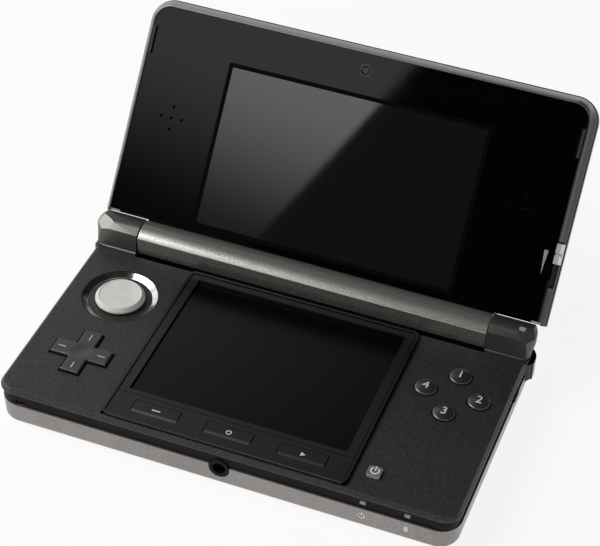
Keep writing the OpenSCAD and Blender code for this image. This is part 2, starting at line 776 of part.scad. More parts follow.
// What a knuckle may fill as the lid turns round it: a cylinder inside the lid's cove, a
// cone at its outer end, and the straight foot
module knuckle_limits() {
    end_r = lid_start - knuckle_swell;
    translate([knuckle_x - 1, hinge_y - 10, band_top - 1]) cube([half_w - knuckle_x + 1, 20, base_h + 1.2 - band_top]);
    on_hinge() rotate([0, 90, 0]) {
        translate([0, 0, knuckle_x - 1])
            cylinder(r = knuckle_r + 1, h = half_w - knuckle_shoulder - knuckle_x + 1);
        translate([0, 0, half_w - knuckle_shoulder - eps])
            cylinder(r1 = knuckle_r, r2 = end_r, h = knuckle_swell + knuckle_shoulder);
    }
}

// The right-hand knuckle; the left one is its mirror image
module knuckle() {
    difference() {
        intersection() {
            on_hinge() along_x(knuckle_x, half_w + knuckle_swell) knuckle_profile();
            knuckle_plan();
            knuckle_limits();
        }
        // the facet turns back towards the outer end
        translate([knuckle_turn, hinge_y + knuckle_edge[0], hinge_z + knuckle_edge[1]]) rotate(20)
            rotate([facet_slope, 0, 0]) translate([0, -6, 0]) cube([8, 14, 6]);
        // chamfer down the outer front edge
        translate([half_w, hinge_y + knuckle_edge[0], base_h + 0.2]) rotate(-45)
            translate([-knuckle_chamfer, -5, 0]) cube([6, 10, 12]);
        // bore for the hinge unit and hole for the shoulder button's pin
        translate([knuckle_x - 1, hinge_y, hinge_z]) rotate([0, 90, 0])
            cylinder(r = hinge_unit_r + seat, h = unit_len + 1.2);
        translate([shoulder_pin_x, shoulder_pin_y, band_top - 1]) cylinder(r = shoulder_pin_r, h = 1.8);
    }
}

module left_knuckle() color("#5a5a57") mirror([1, 0, 0]) knuckle();

module right_knuckle() color("#5a5a57") difference() {
    knuckle();
    notice_window(seat);
}

module notice_window(grow) {
    translate([half_w - 4.35 - grow, hinge_y - 1.8 - grow, knuckle_top - 0.9 - grow])
        cube([1.7 + 2 * grow, 1.3 + 2 * grow, 2]);
}

module notice_light() color("#8f8f8a") intersection() {
    notice_window(0);
    on_hinge() along_x(knuckle_x, half_w) knuckle_profile();
}

// A click hinge cartridge with its pin, for the right-hand side
module hinge_unit() {
    translate([knuckle_x, hinge_y, hinge_z]) rotate([0, 90, 0]) {
        difference() {
            cylinder(r = hinge_unit_r, h = unit_len);
            translate([0, 0, unit_len - 1.2]) cylinder(r = hinge_unit_r - 0.8, h = 2);
        }
        translate([0, 0, -pin_reach - barrel_gap]) cylinder(r = pin_r, h = pin_reach + barrel_gap + 1);
        translate([0, 0, unit_len - 1.8]) cylinder(r = 1.2, h = 2);
    }
}

module hinge_units() color("silver")
    for (side = [0, 1]) mirror([side, 0, 0]) hinge_unit();

// Barrel section in the lid's frame: round, with a flat that faces forward
// when the lid stands open, one that comes to the rear when the lid is
// shut, and one against the lid.
module barrel_section() {
    flats = [[180 - lid_lean, barrel_r - barrel_flat], [180, hinge_inset + 0.1], [0, lid_start]];
    difference() {
        circle(barrel_r);
        for (flat = flats) rotate(flat[0]) translate([flat[1], -barrel_r])
            square([barrel_r, 2 * barrel_r]);
    }
}

module hinge_barrel() color("#77777a") in_lid() difference() {
    union() {
        along_x(-barrel_half, barrel_half) {
            barrel_section();
            translate([0, -barrel_r]) square([lid_start, barrel_r + lid_face]);
        }
    }
    for (side = [-1, 1]) translate([side * barrel_half, 0, 0]) rotate([0, -90 * side, 0])
        translate([0, 0, -1]) cylinder(r = pin_r + pin_fit, h = pin_reach + 1.5);
}

// Lid shells

// Centre of the lid's slab along the lid; its near edge is then cut off flat
lid_over = 12;
lid_mid = (lid_reach + lid_start - lid_over) / 2;
lid_len = lid_reach - lid_start + lid_over;

module lid_near_cut() {
    translate([-lid_w, lid_start - 40, -20]) cube([2 * lid_w, 40, 40]);
}

// Coves that let the lid swing past the knuckles
module lid_coves() {
    for (side = [0, 1]) mirror([side, 0, 0])
        rotate([0, 90, 0]) translate([0, 0, barrel_half]) cylinder(r = cove_r, h = cove_end - barrel_half);
}

module panel_plan(grow) {
    translate([0, (panel_top + lid_start - lid_over) / 2])
        rounded_rect(panel_w + 2 * grow, panel_top - lid_start + lid_over + 2 * grow, panel_r + grow);
}

module lid_cover() color("#1d1d1f") in_lid() difference() {
    near = cove_r + lid_wall;
    translate([0, lid_mid, 0]) moulded_slab(lid_w, lid_len, lid_r, lid_back, lid_seam)
        translate([0, lid_back]) back_profile(lid_r, lid_seam - lid_back, lid_fillet);
    lid_near_cut();
    lid_coves();
    difference() {
        translate([0, lid_mid, lid_back + lid_wall])
            rounded_slab(lid_w - 2 * lid_wall - 2, lid_len - 2 * lid_wall - 2, lid_r - lid_wall - 1, lid_t);
        translate([-lid_w, lid_start - 20, -20]) cube([2 * lid_w, 20 + lid_wall, 40]);
        for (side = [-1, 1])
            translate([side * (barrel_half + lid_w) - lid_w - side * 2, lid_start - 20, -20])
                cube([2 * lid_w, 20 + near - lid_start, 40]);
    }
    for (side = [-1, 1]) translate([side * outer_camera_pitch / 2, outer_camera_d, lid_back - 1])
        cylinder(r = outer_camera_r + seat, h = 5);
}

module lid_rim() color("#6f6d6c") in_lid() difference() {
    translate([0, lid_mid, 0]) moulded_slab(lid_w, lid_len, lid_r, lid_seam, lid_face)
        translate([0, lid_seam]) rim_profile(lid_r, lid_rim_t);
    lid_near_cut();
    lid_coves();
    translate([0, 0, lid_seam - 1]) linear_extrude(lid_rim_t + 2) panel_plan(panel_gap);
    // channel of the depth slider
    translate([lid_w / 2 - lid_rim_w - 1, channel_d0, lid_face - channel_depth])
        cube([10, channel_d1 - channel_d0, channel_depth + 1]);
}

module lid_panel() color("#0c0c0d") in_lid() {
    difference() {
        union() {
            translate([0, 0, lid_face - panel_t]) linear_extrude(panel_t - seat) panel_plan(0);
            // inner tray that seats the panel in the rim
            translate([0, 0, lid_seam]) linear_extrude(lid_rim_t - panel_t) panel_plan(panel_gap - seat);
        }
        lid_near_cut();
        lid_coves();
        translate([0, 0, lid_seam - 1]) linear_extrude(lid_rim_t - panel_t + 1)
            panel_plan(panel_gap - tray_w);
        translate([-upper_w / 2 - seat, upper_d - upper_h / 2 - seat, lid_seam - 1])
            cube([upper_w + 2 * seat, upper_h + 2 * seat, lid_rim_t + 2]);
        translate([0, camera_d, lid_seam - 1]) cylinder(r = camera_r + seat, h = lid_rim_t + 2);
        for (side = [-1, 1]) translate([side * speaker_x, speaker_d, lid_seam - 1])
            for (p = [[0, 0], [1, 0], [-1, 0], [0, 1], [0, -1]]) translate(speaker_pitch * p)
                cylinder(r = speaker_hole_r, h = lid_rim_t + 2);
        bumper_slots();
        // room for the depth slider's knob, and the slot that its arm runs in
        translate([panel_w / 2, channel_d0, lid_face - channel_depth])
            cube([2, channel_d1 - channel_d0, channel_depth + 1]);
        translate([panel_w / 2 - 3, slider_d - arm_w / 2 - slider_travel - free, arm_z - free])
            cube([5, arm_w + slider_travel + 2 * free, lid_face - panel_t - arm_z + free]);
    }
}

module bumper_slots() {
    for (side = [-1, 1]) translate([side * (panel_w / 2 + 1 - bumper_slot_w / 2 - 0.4), bumper_d0 + bumper_len / 2, lid_face - 0.5])
        translate([-bumper_slot_w / 2, -bumper_len / 2, -0.3]) cube([bumper_slot_w, bumper_len, 2]);
}

module lid_bumpers() color("#222222") in_lid()
    for (side = [-1, 1]) translate([side * (panel_w / 2 - bumper_w / 2), bumper_d0 + 0.1, lid_face - 0.8])
        translate([-bumper_w / 2, 0, 0]) cube([bumper_w, bumper_len - 0.2, 1.05]);

module upper_screen() color("#26282a") in_lid()
    translate([-upper_w / 2, upper_d - upper_h / 2, lid_face - panel_t])
        cube([upper_w, upper_h, panel_t - 2 * seat]);

module upper_display() color("#3a3f46") in_lid() {
    z0 = lid_back + lid_wall + seat;
    translate([-upper_w / 2 - 1.5, upper_d - upper_h / 2 - 1, z0])
        cube([upper_w + 3, upper_h + 2.5, lid_face - panel_t - seat - z0]);
}

module depth_slider() color("#c9c7c4") in_lid() {
    z0 = lid_face - channel_depth + 0.1;
    difference() {
        translate([slider_x - slider_w / 2, slider_d - slider_len / 2, z0])
            cube([slider_w, slider_len, channel_depth + 0.1]);
        // notch across the middle of the knob
        translate([slider_x - slider_w, slider_d - 0.5, lid_face - 0.6]) cube([2 * slider_w, 0.7, 2]);
        // bevel along the outer edge
        translate([slider_x + slider_w / 2, slider_d, lid_face + 0.1]) rotate([0, 45, 0])
            cube([1.1, slider_len + 1, 1.1], center = true);
    }
    // arm through the tray, with a plate that keeps the knob in
    x0 = panel_w / 2 + panel_gap - tray_w - 0.2;
    translate([x0 - 0.6, slider_d - arm_w / 2, arm_z])
        cube([slider_x - x0, arm_w, arm_t]);
    translate([x0 - 0.6, slider_d - arm_w / 2 - 0.9, arm_z - 0.8]) cube([0.6, arm_w + 1.8, arm_t + 0.8]);
}

module inner_camera() color("#101114") in_lid() translate([0, camera_d, 0]) difference() {
    translate([0, 0, lid_back + lid_wall + seat])
        cylinder(r = camera_r, h = lid_face - lid_back - lid_wall - 2 * seat);
    translate([0, 0, lid_face - 0.35]) cylinder(r1 = 0.9, r2 = 1.35, h = 0.36);
    translate([0, 0, lid_face - 0.2]) difference() {
        cylinder(r = 1.85, h = 1);
        translate([0, 0, -1]) cylinder(r = 1.6, h = 3);
    }
}

module outer_cameras() color("#15161a") in_lid()
    for (side = [-1, 1]) translate([side * outer_camera_pitch / 2, outer_camera_d, 0]) difference() {
        translate([0, 0, lid_back]) cylinder(r = outer_camera_r, h = 3.2);
        translate([0, 0, lid_back - eps]) cylinder(r1 = 1.8, r2 = 1, h = 0.5);
    }

module lid_speakers() color("#4a4a4a") in_lid()
    for (side = [-1, 1]) translate([side * (speaker_x - 1), speaker_d, lid_back + lid_wall + seat]) difference() {
        union() {
            translate([0, 0, speaker_t / 2]) cube([speaker_w, speaker_h, speaker_t], center = true);
            cylinder(r = speaker_h / 2 - 0.9, h = speaker_t + 0.5);
        }
        translate([0, 0, speaker_t + 0.1]) cylinder(r = speaker_h / 2 - 1.5, h = 1);
    }

// Lower screen

// Room for the headphone socket above the board
module jack_room() {
    half = jack_body_r + seat;
    translate([-half, front_y, board_z]) cube([2 * half, jack_len + 1, jack_z + half - board_z]);
}

module screen_frame() color("#3f3f3e") {
    difference() {
        union() {
            translate([0, bezel_y, plate_z]) rounded_slab(frame_w, frame_d, 1.8, frame_top - plate_z);
            // tray that stands on the board and holds the display
            translate([-lower_w / 2 - 1.6, lower_y0 - 1.2, board_top + seat])
                cube([lower_w + 3.2, lower_h + 2.2, plate_z - board_top - seat]);
        }
        translate([0, bezel_y, touch_z - seat])
            rounded_slab(bezel_w + 2 * bezel_gap, bezel_d + 2 * bezel_gap, 1, 5);
        translate([-lower_w / 2, lower_y0, board_top - 1]) cube([lower_w, lower_h, 5]);
        for (x = strip_xs) translate([x, strip_y, plate_z - 1])
            rounded_slab(strip_w - 0.6, strip_d - 0.6, 0.5, 5);
        jack_room();
    }
}

module screen_bezel() color("#2f2f2d") difference() {
    translate([0, bezel_y, bezel_z]) rounded_slab(bezel_w, bezel_d, 0.9, bezel_t);
    translate([-lower_w / 2, lower_y0, bezel_z - 1]) cube([lower_w, lower_h, 5]);
    for (x = strip_xs) translate([x, strip_y, bezel_z - 1])
        rounded_slab(strip_w + 2 * button_gap, strip_d + 2 * button_gap, 0.5, 5);
    // fine line between the strip and the screen border
    translate([-bezel_w / 2 - 1, lower_y0 - 1.75, bezel_top - 0.12]) cube([bezel_w + 2, 0.2, 1]);
}

module touch_panel() color("#1d1f20")
    translate([-lower_w / 2 - 1, lower_y0 - 1, touch_z]) cube([lower_w + 2, lower_h + 2, touch_t - seat]);

module lower_display() color("#3a3f46") difference() {
    translate([-lower_w / 2 + 0.2, lower_y0 + 0.2, board_top + seat])
        cube([lower_w - 0.4, lower_h - 0.4, touch_z - board_top - 2 * seat]);
    jack_room();
}

module strip_button(x) {
    translate([x, strip_y, strip_top - 1.1]) difference() {
        rounded_slab(strip_w, strip_d, 0.4, 1.1);
        // sloped lower edge that catches the light
        translate([0, -strip_d / 2, 1.1]) rotate([35, 0, 0]) cube([strip_w + 2, 1, 0.8], center = true);
    }
    // stem and the flange that keeps the button in
    translate([x, strip_y, strip_z]) rounded_slab(strip_w - 1.6, strip_d - 1.6, 0.4, strip_top - 1 - strip_z);
    translate([x, strip_y, strip_z]) rounded_slab(strip_w, strip_d - 0.1, 0.4, strip_flange_t);
}

module left_strip_button() color("#2f2f2d") strip_button(strip_xs[0]);

module middle_strip_button() color("#2f2f2d") strip_button(strip_xs[1]);

module right_strip_button() color("#2f2f2d") strip_button(strip_xs[2]);

// Controls on the face

module slide_pad_ring() color("#b9b9b6") translate([pad_x, pad_y, 0]) difference() {
    translate([0, 0, pad_floor_z]) cylinder(r = pad_ring_r, h = base_h - pad_floor_z);
    translate([0, 0, pad_floor_z - 1]) cylinder(r = pad_well_r, h = 4);
    translate([0, 0, pad_floor_z + 0.15])
        cylinder(r1 = pad_well_r, r2 = pad_ring_r - 0.25, h = base_h - pad_floor_z - 0.15 + eps);
}

// Floor of the recess, which the ring stands on
module slide_pad_floor() color("#4a4a49") translate([pad_x, pad_y, 0]) difference() {
    translate([0, 0, pad_floor_z - pad_floor_t]) cylinder(r = pad_ring_r, h = pad_floor_t);
    translate([0, 0, pad_floor_z - 2]) cylinder(r = pad_hole_r, h = 4);
}

module slide_pad_housing() color("#4d4d4b") translate([pad_x, pad_y, 0]) {
    top = pad_floor_z - pad_floor_t - seat;
    z0 = board_top + seat;
    difference() {
        translate([0, 0, z0]) rounded_slab(2 * pad_box_half, 2 * pad_box_half, 1, top - z0);
        // room for the carriage, over a rail at each end
        translate([-pad_box_half + 0.8, -pad_box_half + 0.8, carriage_z - carriage_gap])
            cube([2 * pad_box_half - 1.6, 2 * pad_box_half - 1.6, 5]);
        translate([-pad_box_half + 0.8, -pad_box_half + 0.8 + pad_rail, z0 + 0.4])
            cube([2 * pad_box_half - 1.6, 2 * (pad_box_half - 0.8 - pad_rail), 5]);
    }
}

module slide_pad_carriage() color("#6a6a68") translate([pad_x, pad_y, carriage_z]) difference() {
    half = pad_box_half - 0.8 - free;
    translate([-carriage_half_w, -half, 0]) cube([2 * carriage_half_w, 2 * half, carriage_t]);
    translate([-pad_stem_r - 0.15, -pad_travel - pad_stem_r - 0.4, -1])
        cube([2 * pad_stem_r + 0.3, 2 * (pad_travel + pad_stem_r + 0.4), 5]);
}

module slide_pad_cap() color("#c4c4c1") translate([pad_x, pad_y, 0]) {
    edge = 0.5;
    foot_z = carriage_z - 0.15 - pad_foot_t;
    difference() {
        union() {
            translate([0, 0, pad_cap_z]) cylinder(r1 = pad_cap_r - 0.4, r2 = pad_cap_r, h = 0.5);
            translate([0, 0, pad_cap_z + 0.5]) cylinder(r = pad_cap_r, h = control_top - edge - pad_cap_z - 0.5);
            translate([0, 0, control_top - edge]) cylinder(r1 = pad_cap_r, r2 = pad_cap_r - edge, h = edge);
        }
        // dished thumb rest inside a raised lip
        translate([0, 0, control_top + 22.4]) sphere(r = 23, $fn = 180);
    }
    // stem through the carriage and the foot that keeps the cap in
    translate([0, 0, foot_z]) cylinder(r = pad_stem_r, h = pad_cap_z - foot_z + 0.1);
    translate([0, 0, foot_z]) cylinder(r = pad_foot_r, h = pad_foot_t);
}

module cross_pad_pivot() color("#777774") translate([cross_x, cross_y, cross_pivot_z]) sphere(cross_ball_r);

module cross_pad() color("#343433") translate([cross_x, cross_y, 0]) difference() {
    z0 = cross_flange_z + cross_flange_t;
    union() {
        translate([0, 0, z0]) linear_extrude(cross_top_z - 0.3 - z0) cross_shape(cross_len, cross_arm);
        translate([0, 0, cross_top_z - 0.3]) cross_top(0.3);
    }
    translate([0, 0, cross_pivot_z]) sphere(cross_ball_r + 0.1);
    // shallow dish in the middle and a line along each arm
    translate([0, 0, cross_top_z + 39.87]) sphere(40, $fn = 180);
    for (turn = [0:3]) rotate(90 * turn) translate([cross_len / 2 - 3.6, -0.15, cross_top_z - 0.15])
        cube([2.3, 0.3, 1]);
}

// Flange that keeps the cross pad in, with the posts that press the contact domes
module cross_pad_foot() color("#343433") translate([cross_x, cross_y, 0]) {
    difference() {
        translate([0, 0, cross_flange_z]) linear_extrude(cross_flange_t)
            cross_shape(cross_len + 2 * cross_flange, cross_arm + 2 * cross_flange);
        translate([0, 0, cross_pivot_z]) sphere(cross_ball_r + 0.1);
    }
    for (turn = [0:3]) rotate(90 * turn) translate([cross_post_r, 0, cross_post_z])
        cylinder(r = 1.3, h = cross_flange_z - cross_post_z + eps);
}

// Top of the cross with a chamfered edge
module cross_top(c) {
    for (turn = [0, 90]) rotate(turn) {
        intersection() {
            along_x(-cross_len / 2, cross_len / 2)
                polygon([[-cross_arm / 2, 0], [cross_arm / 2, 0], [cross_arm / 2 - c, c], [-cross_arm / 2 + c, c]]);
            rotate(90) along_x(-cross_arm / 2, cross_arm / 2)
                polygon([[-cross_len / 2, 0], [cross_len / 2, 0], [cross_len / 2 - c, c], [-cross_len / 2 + c, c]]);
        }
    }
}

module face_button(place) {
    dome = 9;
    translate([cluster_x + place[0], cluster_y + place[1], 0]) {
        intersection() {
            translate([0, 0, flange_z]) cylinder(r = button_r, h = control_top - flange_z);
            translate([0, 0, control_top - dome]) sphere(dome, $fn = 180);
        }
        translate([0, 0, flange_z]) cylinder(r = button_r + 0.7, h = flange_t);
    }
}

module top_button() color("#3b3b3a") face_button(cluster_places[0]);

module left_button() color("#3b3b3a") face_button(cluster_places[1]);

module right_button() color("#3b3b3a") face_button(cluster_places[2]);

module bottom_button() color("#3b3b3a") face_button(cluster_places[3]);

module power_button() color("#7d7d7a") translate([power_x, power_y, 0]) {
    top = base_h + 0.7;
    translate([0, 0, flange_z]) rounded_slab(power_w + 1.2, power_w + 1.2, 1, flange_t);
    difference() {
        translate([0, 0, flange_z]) rounded_slab(power_w, power_w, 0.8, top - flange_z);
        translate([0, -power_w / 2, top]) rotate([40, 0, 0]) cube([power_w + 2, 1.5, 0.9], center = true);
    }
}

module button_mats() color("#9a9a96") {
    mat_z = board_top + seat;
    translate([cluster_x, cluster_y, mat_z]) difference() {
        union() {
            rounded_slab(24, 24, 4, mat_t);
            for (p = cluster_places) translate(p)
                cylinder(r = 2.2, h = flange_z - button_travel - 0.1 - mat_z);
        }
        translate([0, 0, -1]) cylinder(r = 2, h = 3);
    }
    translate([cross_x, cross_y, mat_z]) difference() {
        union() {
            rounded_slab(20, 20, 4, mat_t);
            for (turn = [0:3]) rotate(90 * turn) translate([cross_post_r, 0, 0])
                cylinder(r = 1.8, h = cross_post_z - cross_post_r * tan(cross_tilt) - 0.1 - mat_z);
        }
        translate([0, 0, -1]) cylinder(r = 1.8, h = 3);
    }
    translate([power_x, power_y, mat_z]) rounded_slab(5, 5, 1, flange_z - power_travel - 0.1 - mat_z);
    difference() {
        for (x = strip_xs) translate([x, strip_y, mat_z])
            rounded_slab(10, 3, 0.5, strip_z - strip_travel - 0.1 - mat_z);
        jack_room();
    }
}

// Shoulder buttons and side switches

module shoulder_button() {
    difference() {
        union() {
            translate([0, 0, shoulder_z]) linear_extrude(shoulder_h) shoulder_plan(0, 0);
            translate([shoulder_pin_x, shoulder_pin_y, shoulder_z])
                cylinder(r = shoulder_boss_r, h = shoulder_h);
        }
        translate([shoulder_pin_x, shoulder_pin_y, shoulder_z - 1])
            cylinder(r = shoulder_pin_r + pin_fit, h = shoulder_h + 2);
    }
}

module left_shoulder_button() color("#252526") mirror([1, 0, 0]) shoulder_button();

module right_shoulder_button() color("#252526") shoulder_button();

module shoulder_pins() color("silver") for (side = [-1, 1])
    translate([side * shoulder_pin_x, shoulder_pin_y, shoulder_z - free - 1.4])
        cylinder(r = shoulder_pin_r, h = band_top + 0.7 - shoulder_z + free + 1.4);

// A side switch: knob outside, neck through the slot, plate inside; for +X
module side_switch(length, plate) {
    wall_x = half_w - band_inset;
    translate([wall_x - wall - 0.2, -length / 2, -switch_h / 2]) cube([wall + 0.2 + 1, length, switch_h]);
    translate([wall_x - wall - 0.2 - 0.6, -plate / 2, -switch_h / 2 - 0.3]) cube([0.6, plate, switch_h + 0.6]);
}

module volume_slider() color("#2b2b2c") translate([0, volume_y, switch_z]) mirror([1, 0, 0]) difference() {
    side_switch(volume_len, volume_len + 1);
    for (y = [-1, 0, 1]) translate([half_w - band_inset + 0.85, y - 0.2, -2]) cube([1, 0.4, 4]);
}

module wireless_switch() color("#2b2b2c") translate([0, radio_y, switch_z]) difference() {
    side_switch(4, 5);
    for (y = [-0.8, 0.8]) translate([half_w - band_inset + 0.85, y - 0.2, -2]) cube([1, 0.4, 4]);
}

module memory_card_door() color("#8e8b8a") translate([door_x, memory_y, door_z]) {
    r = door_t / 2;
    translate([r, 0, r]) rotate([90, 0, 0]) {
        cylinder(r = r, h = door_len, center = true);
        cylinder(r = door_pin_r, h = door_len + 1.4, center = true);
    }
    difference() {
        translate([0, -door_len / 2, r]) cube([door_t, door_len, door_h - r]);
        // finger notch in the upper edge
        translate([-0.5, 6, door_h - 0.5]) cube([1, 6, 1]);
    }
}

// Inside the base

module main_board() color("#1f5a3a") {
    difference() {
        translate([-half_w + 5, board_y0, board_z]) cube([base_w - 10, board_y1 - board_y0, board_t]);
        translate([cross_x, cross_y, board_z - 1]) cylinder(r = 1.7, h = 3);
        translate([-jack_body_r - 0.3, -half_d, board_z - 1]) cube([2 * jack_body_r + 0.6, jack_len + 2.5, 4]);
        for (p = screw_places) translate([p[0], p[1], board_z - 1]) cylinder(r = 2.2, h = 3);
    }
}

module battery() color("#3c3f4a") {
    r = battery_t / 2;
    z0 = cover_floor + seat;
    depth = battery_y1 - battery_y0;
    translate([battery_x0 + r, battery_y0, z0]) cube([battery_x1 - battery_x0 - 2 * r, depth, battery_t]);
    for (x = [battery_x0 + r, battery_x1 - r]) translate([x, battery_y0, z0 + r]) rotate([-90, 0, 0])
        cylinder(r = r, h = depth);
}

module headphone_socket() color("#111112") translate([0, jack_y + 2.2 + seat, jack_z]) {
    body_y = jack_len + 0.8 - 2.2 - seat;
    difference() {
        union() {
            rotate([-90, 0, 0]) cylinder(r = jack_body_r, h = body_y);
            translate([0, -2.2 - seat, 0]) rotate([-90, 0, 0])
                cylinder(r = jack_body_r - 0.7 - seat, h = 3);
        }
        translate([0, -2.2 - seat - 1, 0]) rotate([-90, 0, 0]) cylinder(r = jack_r, h = jack_len + 1);
    }
}

module card_socket() color("#55565a") difference() {
    translate([-card_w / 2 - card_wall, card_y1 - card_d - 1.6, card_z - card_wall])
        cube([card_w + 2 * card_wall, card_d - 0.4, card_t + 2 * card_wall - 0.05]);
    translate([-card_w / 2, card_y1 - card_d, card_z]) cube([card_w, card_d + 1, card_t]);
    // clear of the barrel's cradle
    translate([-card_w, hinge_y, hinge_z]) rotate([0, 90, 0])
        cylinder(r = trough_r + trough_wall + seat, h = 2 * card_w);
}

module memory_card_socket() color("#8a8a88") {
    x0 = -half_w + 3.4;
    difference() {
        translate([x0, memory_y - memory_w / 2 - 0.6, memory_z - memory_t / 2 - 0.6])
            cube([memory_d, memory_w + 1.2, memory_t + 1.2]);
        translate([x0 - 1, memory_y - memory_w / 2, memory_z - memory_t / 2])
            cube([memory_d, memory_w, memory_t]);
    }
}

module power_inlet() color("#1a1a1b") translate([inlet_x, rear_wall_y - seat, inlet_z]) {
    difference() {
        translate([-inlet_w / 2 - 0.9, -inlet_d, -inlet_t / 2 - 0.7]) cube([inlet_w + 1.8, inlet_d, inlet_t + 1.4]);
        translate([-inlet_w / 2, -inlet_d + 1, -inlet_t / 2]) cube([inlet_w, inlet_d, inlet_t]);
    }
    translate([-inlet_w / 2 + 1.2, -inlet_d + 0.9, -0.45]) cube([inlet_w - 2.4, inlet_d - 1.4, 0.9]);
}

module infrared_window() color("#2a0f12")
    translate([window_x - window_w / 2, rear_wall_y - 0.4, window_z]) cube([window_w, wall + 0.3, window_h]);

module status_lights() color("#9a9a96") for (x = light_xs)
    translate([x - light_w / 2, front_y + band_inset + seat, light_z - light_h / 2])
        cube([light_w, wall + 0.3, light_h]);

module microphone() color("#303030")
    translate([mic_x - 1.35, front_y + band_inset + 0.4, cover_h + seat]) difference() {
        cube([2.7, 1.6, 1.3]);
        translate([1.35, -0.5, 0.65]) rotate([-90, 0, 0]) cylinder(r = 0.4, h = 1);
    }

module cover_screws() color("#9d9d9a") for (p = screw_places) translate([p[0], p[1], 0]) difference() {
    union() {
        translate([0, 0, 0.15]) cylinder(r = screw_head_r, h = 0.7);
        translate([0, 0, 0.8]) cylinder(r = 1, h = floor_z + floor_t - 0.9);
    }
    for (turn = [0, 90]) rotate(turn) translate([-1.3, -0.25, -1]) cube([2.6, 0.5, 1.6]);
}

module stylus_holder() color("#2a2a2b") translate([stylus_x, 0, stylus_z]) rotate([-90, 0, 0]) {
    end = stylus_y1 - stylus_len - 1.2;
    translate([0, 0, end]) difference() {
        cylinder(r = stylus_bore + stylus_tube, h = rear_wall_y - seat - end);
        translate([0, 0, 0.7]) cylinder(r = stylus_bore, h = base_d);
    }
}

module stylus() color("#6d6e72") translate([stylus_x, stylus_y1 - stylus_len, stylus_z]) rotate([-90, 0, 0]) {
    translate([0, 0, 7]) cylinder(r = stylus_r, h = stylus_len - 7);
    translate([0, 0, 3]) cylinder(r = stylus_r - 0.5, h = 4.5);
    // thumb lip on the head
    translate([-1, -stylus_r + 0.15, stylus_len - 0.6]) cube([2, 1.2, 1]);
}

module stylus_nib() color("#202020") translate([stylus_x, stylus_y1 - stylus_len, stylus_z]) rotate([-90, 0, 0]) {
    translate([0, 0, 0.9]) cylinder(r1 = 0.9, r2 = stylus_r - 0.6, h = 2.05);
    translate([0, 0, 0.9]) sphere(0.9);
}

bottom_cover();
lower_housing();
left_front_plate();
left_rear_plate();
right_plate();
left_knuckle();
right_knuckle();
screen_frame();
screen_bezel();
touch_panel();
lower_display();
main_board();
battery();
headphone_socket();
card_socket();
memory_card_socket();
power_inlet();
infrared_window();
status_lights();
notice_light();
microphone();
slide_pad_ring();
slide_pad_floor();
slide_pad_housing();
button_mats();
hinge_units();
shoulder_pins();
cover_screws();
stylus_holder();
slide_pad_carriage();
slide_pad_cap();
cross_pad_pivot();
cross_pad_foot();
cross_pad();
top_button();
left_button();
right_button();
bottom_button();
power_button();
left_strip_button();
middle_strip_button();
right_strip_button();
left_shoulder_button();
right_shoulder_button();
volume_slider();
wireless_switch();
memory_card_door();
stylus();
stylus_nib();
hinge_barrel();
lid_cover();
lid_rim();
lid_panel();
upper_screen();
upper_display();
depth_slider();
inner_camera();
outer_cameras();
lid_speakers();
lid_bumpers();
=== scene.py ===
import json
import math

import bmesh
import bpy
from bpy.props import FloatProperty, FloatVectorProperty, IntProperty, PointerProperty
from mathutils import Matrix, Vector
from mathutils.bvhtree import BVHTree


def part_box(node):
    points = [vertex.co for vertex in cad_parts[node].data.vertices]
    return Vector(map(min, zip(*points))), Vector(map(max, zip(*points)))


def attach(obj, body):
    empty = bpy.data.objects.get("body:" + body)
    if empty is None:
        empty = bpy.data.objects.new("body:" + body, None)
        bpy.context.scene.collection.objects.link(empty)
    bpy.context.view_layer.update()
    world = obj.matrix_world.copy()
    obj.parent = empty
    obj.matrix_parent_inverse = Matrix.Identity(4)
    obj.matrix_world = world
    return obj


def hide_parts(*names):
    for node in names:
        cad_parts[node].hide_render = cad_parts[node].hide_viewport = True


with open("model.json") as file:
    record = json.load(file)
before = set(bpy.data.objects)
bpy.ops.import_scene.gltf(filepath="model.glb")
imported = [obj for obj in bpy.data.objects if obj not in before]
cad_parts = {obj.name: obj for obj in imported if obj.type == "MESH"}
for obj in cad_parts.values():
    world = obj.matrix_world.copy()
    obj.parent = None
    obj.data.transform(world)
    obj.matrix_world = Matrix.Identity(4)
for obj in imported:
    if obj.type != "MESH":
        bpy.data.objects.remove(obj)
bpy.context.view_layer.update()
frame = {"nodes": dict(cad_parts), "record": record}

bl_info = {
    "name": "Clamshell console",
    "version": (1, 0, 0),
    "blender": (4, 5, 0),
    "location": "View3D > Sidebar > Console",
    "description": "Dresses the clamshell handheld console with its finishes and small parts",
    "category": "Object",
}

MM = 0.001

# What the frame says of the nodes

NODES = frame["nodes"]
RECORD = frame["record"]
BODY_OF = {node: body for body, nodes in RECORD["behaviour"]["bodies"].items() for node in nodes}
SLOT_OF = {part["node"]: part["material_slot"] for part in RECORD["subparts"]}
PLATES = ("left_front_plate", "left_rear_plate", "right_plate")
FACE_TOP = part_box("right_plate")[1].z

# The hinge axis, and the lid's own axes at rest: x to the right, y up the lid, z out of its inner face

HINGE = Vector((0.0, 33 * MM, 13.9 * MM))
LID_LEAN = math.radians(53)
IN_LID = Matrix.Translation(HINGE) @ Matrix.Rotation(LID_LEAN, 4, "X")

# Distances and angles that count as none

SAME_CAD_POINT = 2e-6
ON_SEAM = 3e-6
SAME_POINT = 1e-7
FLAT = math.radians(0.6)

# Where shading turns smooth, and how prints and numerals are made

SMOOTH_UNDER = math.radians(35)
PRINT_THICKNESS = 0.03 * MM
PRINT_SINK = 0.01 * MM
NUMERAL_SHARE_OF_FONT = 0.7


# Sizes and colours that can be changed in the sidebar

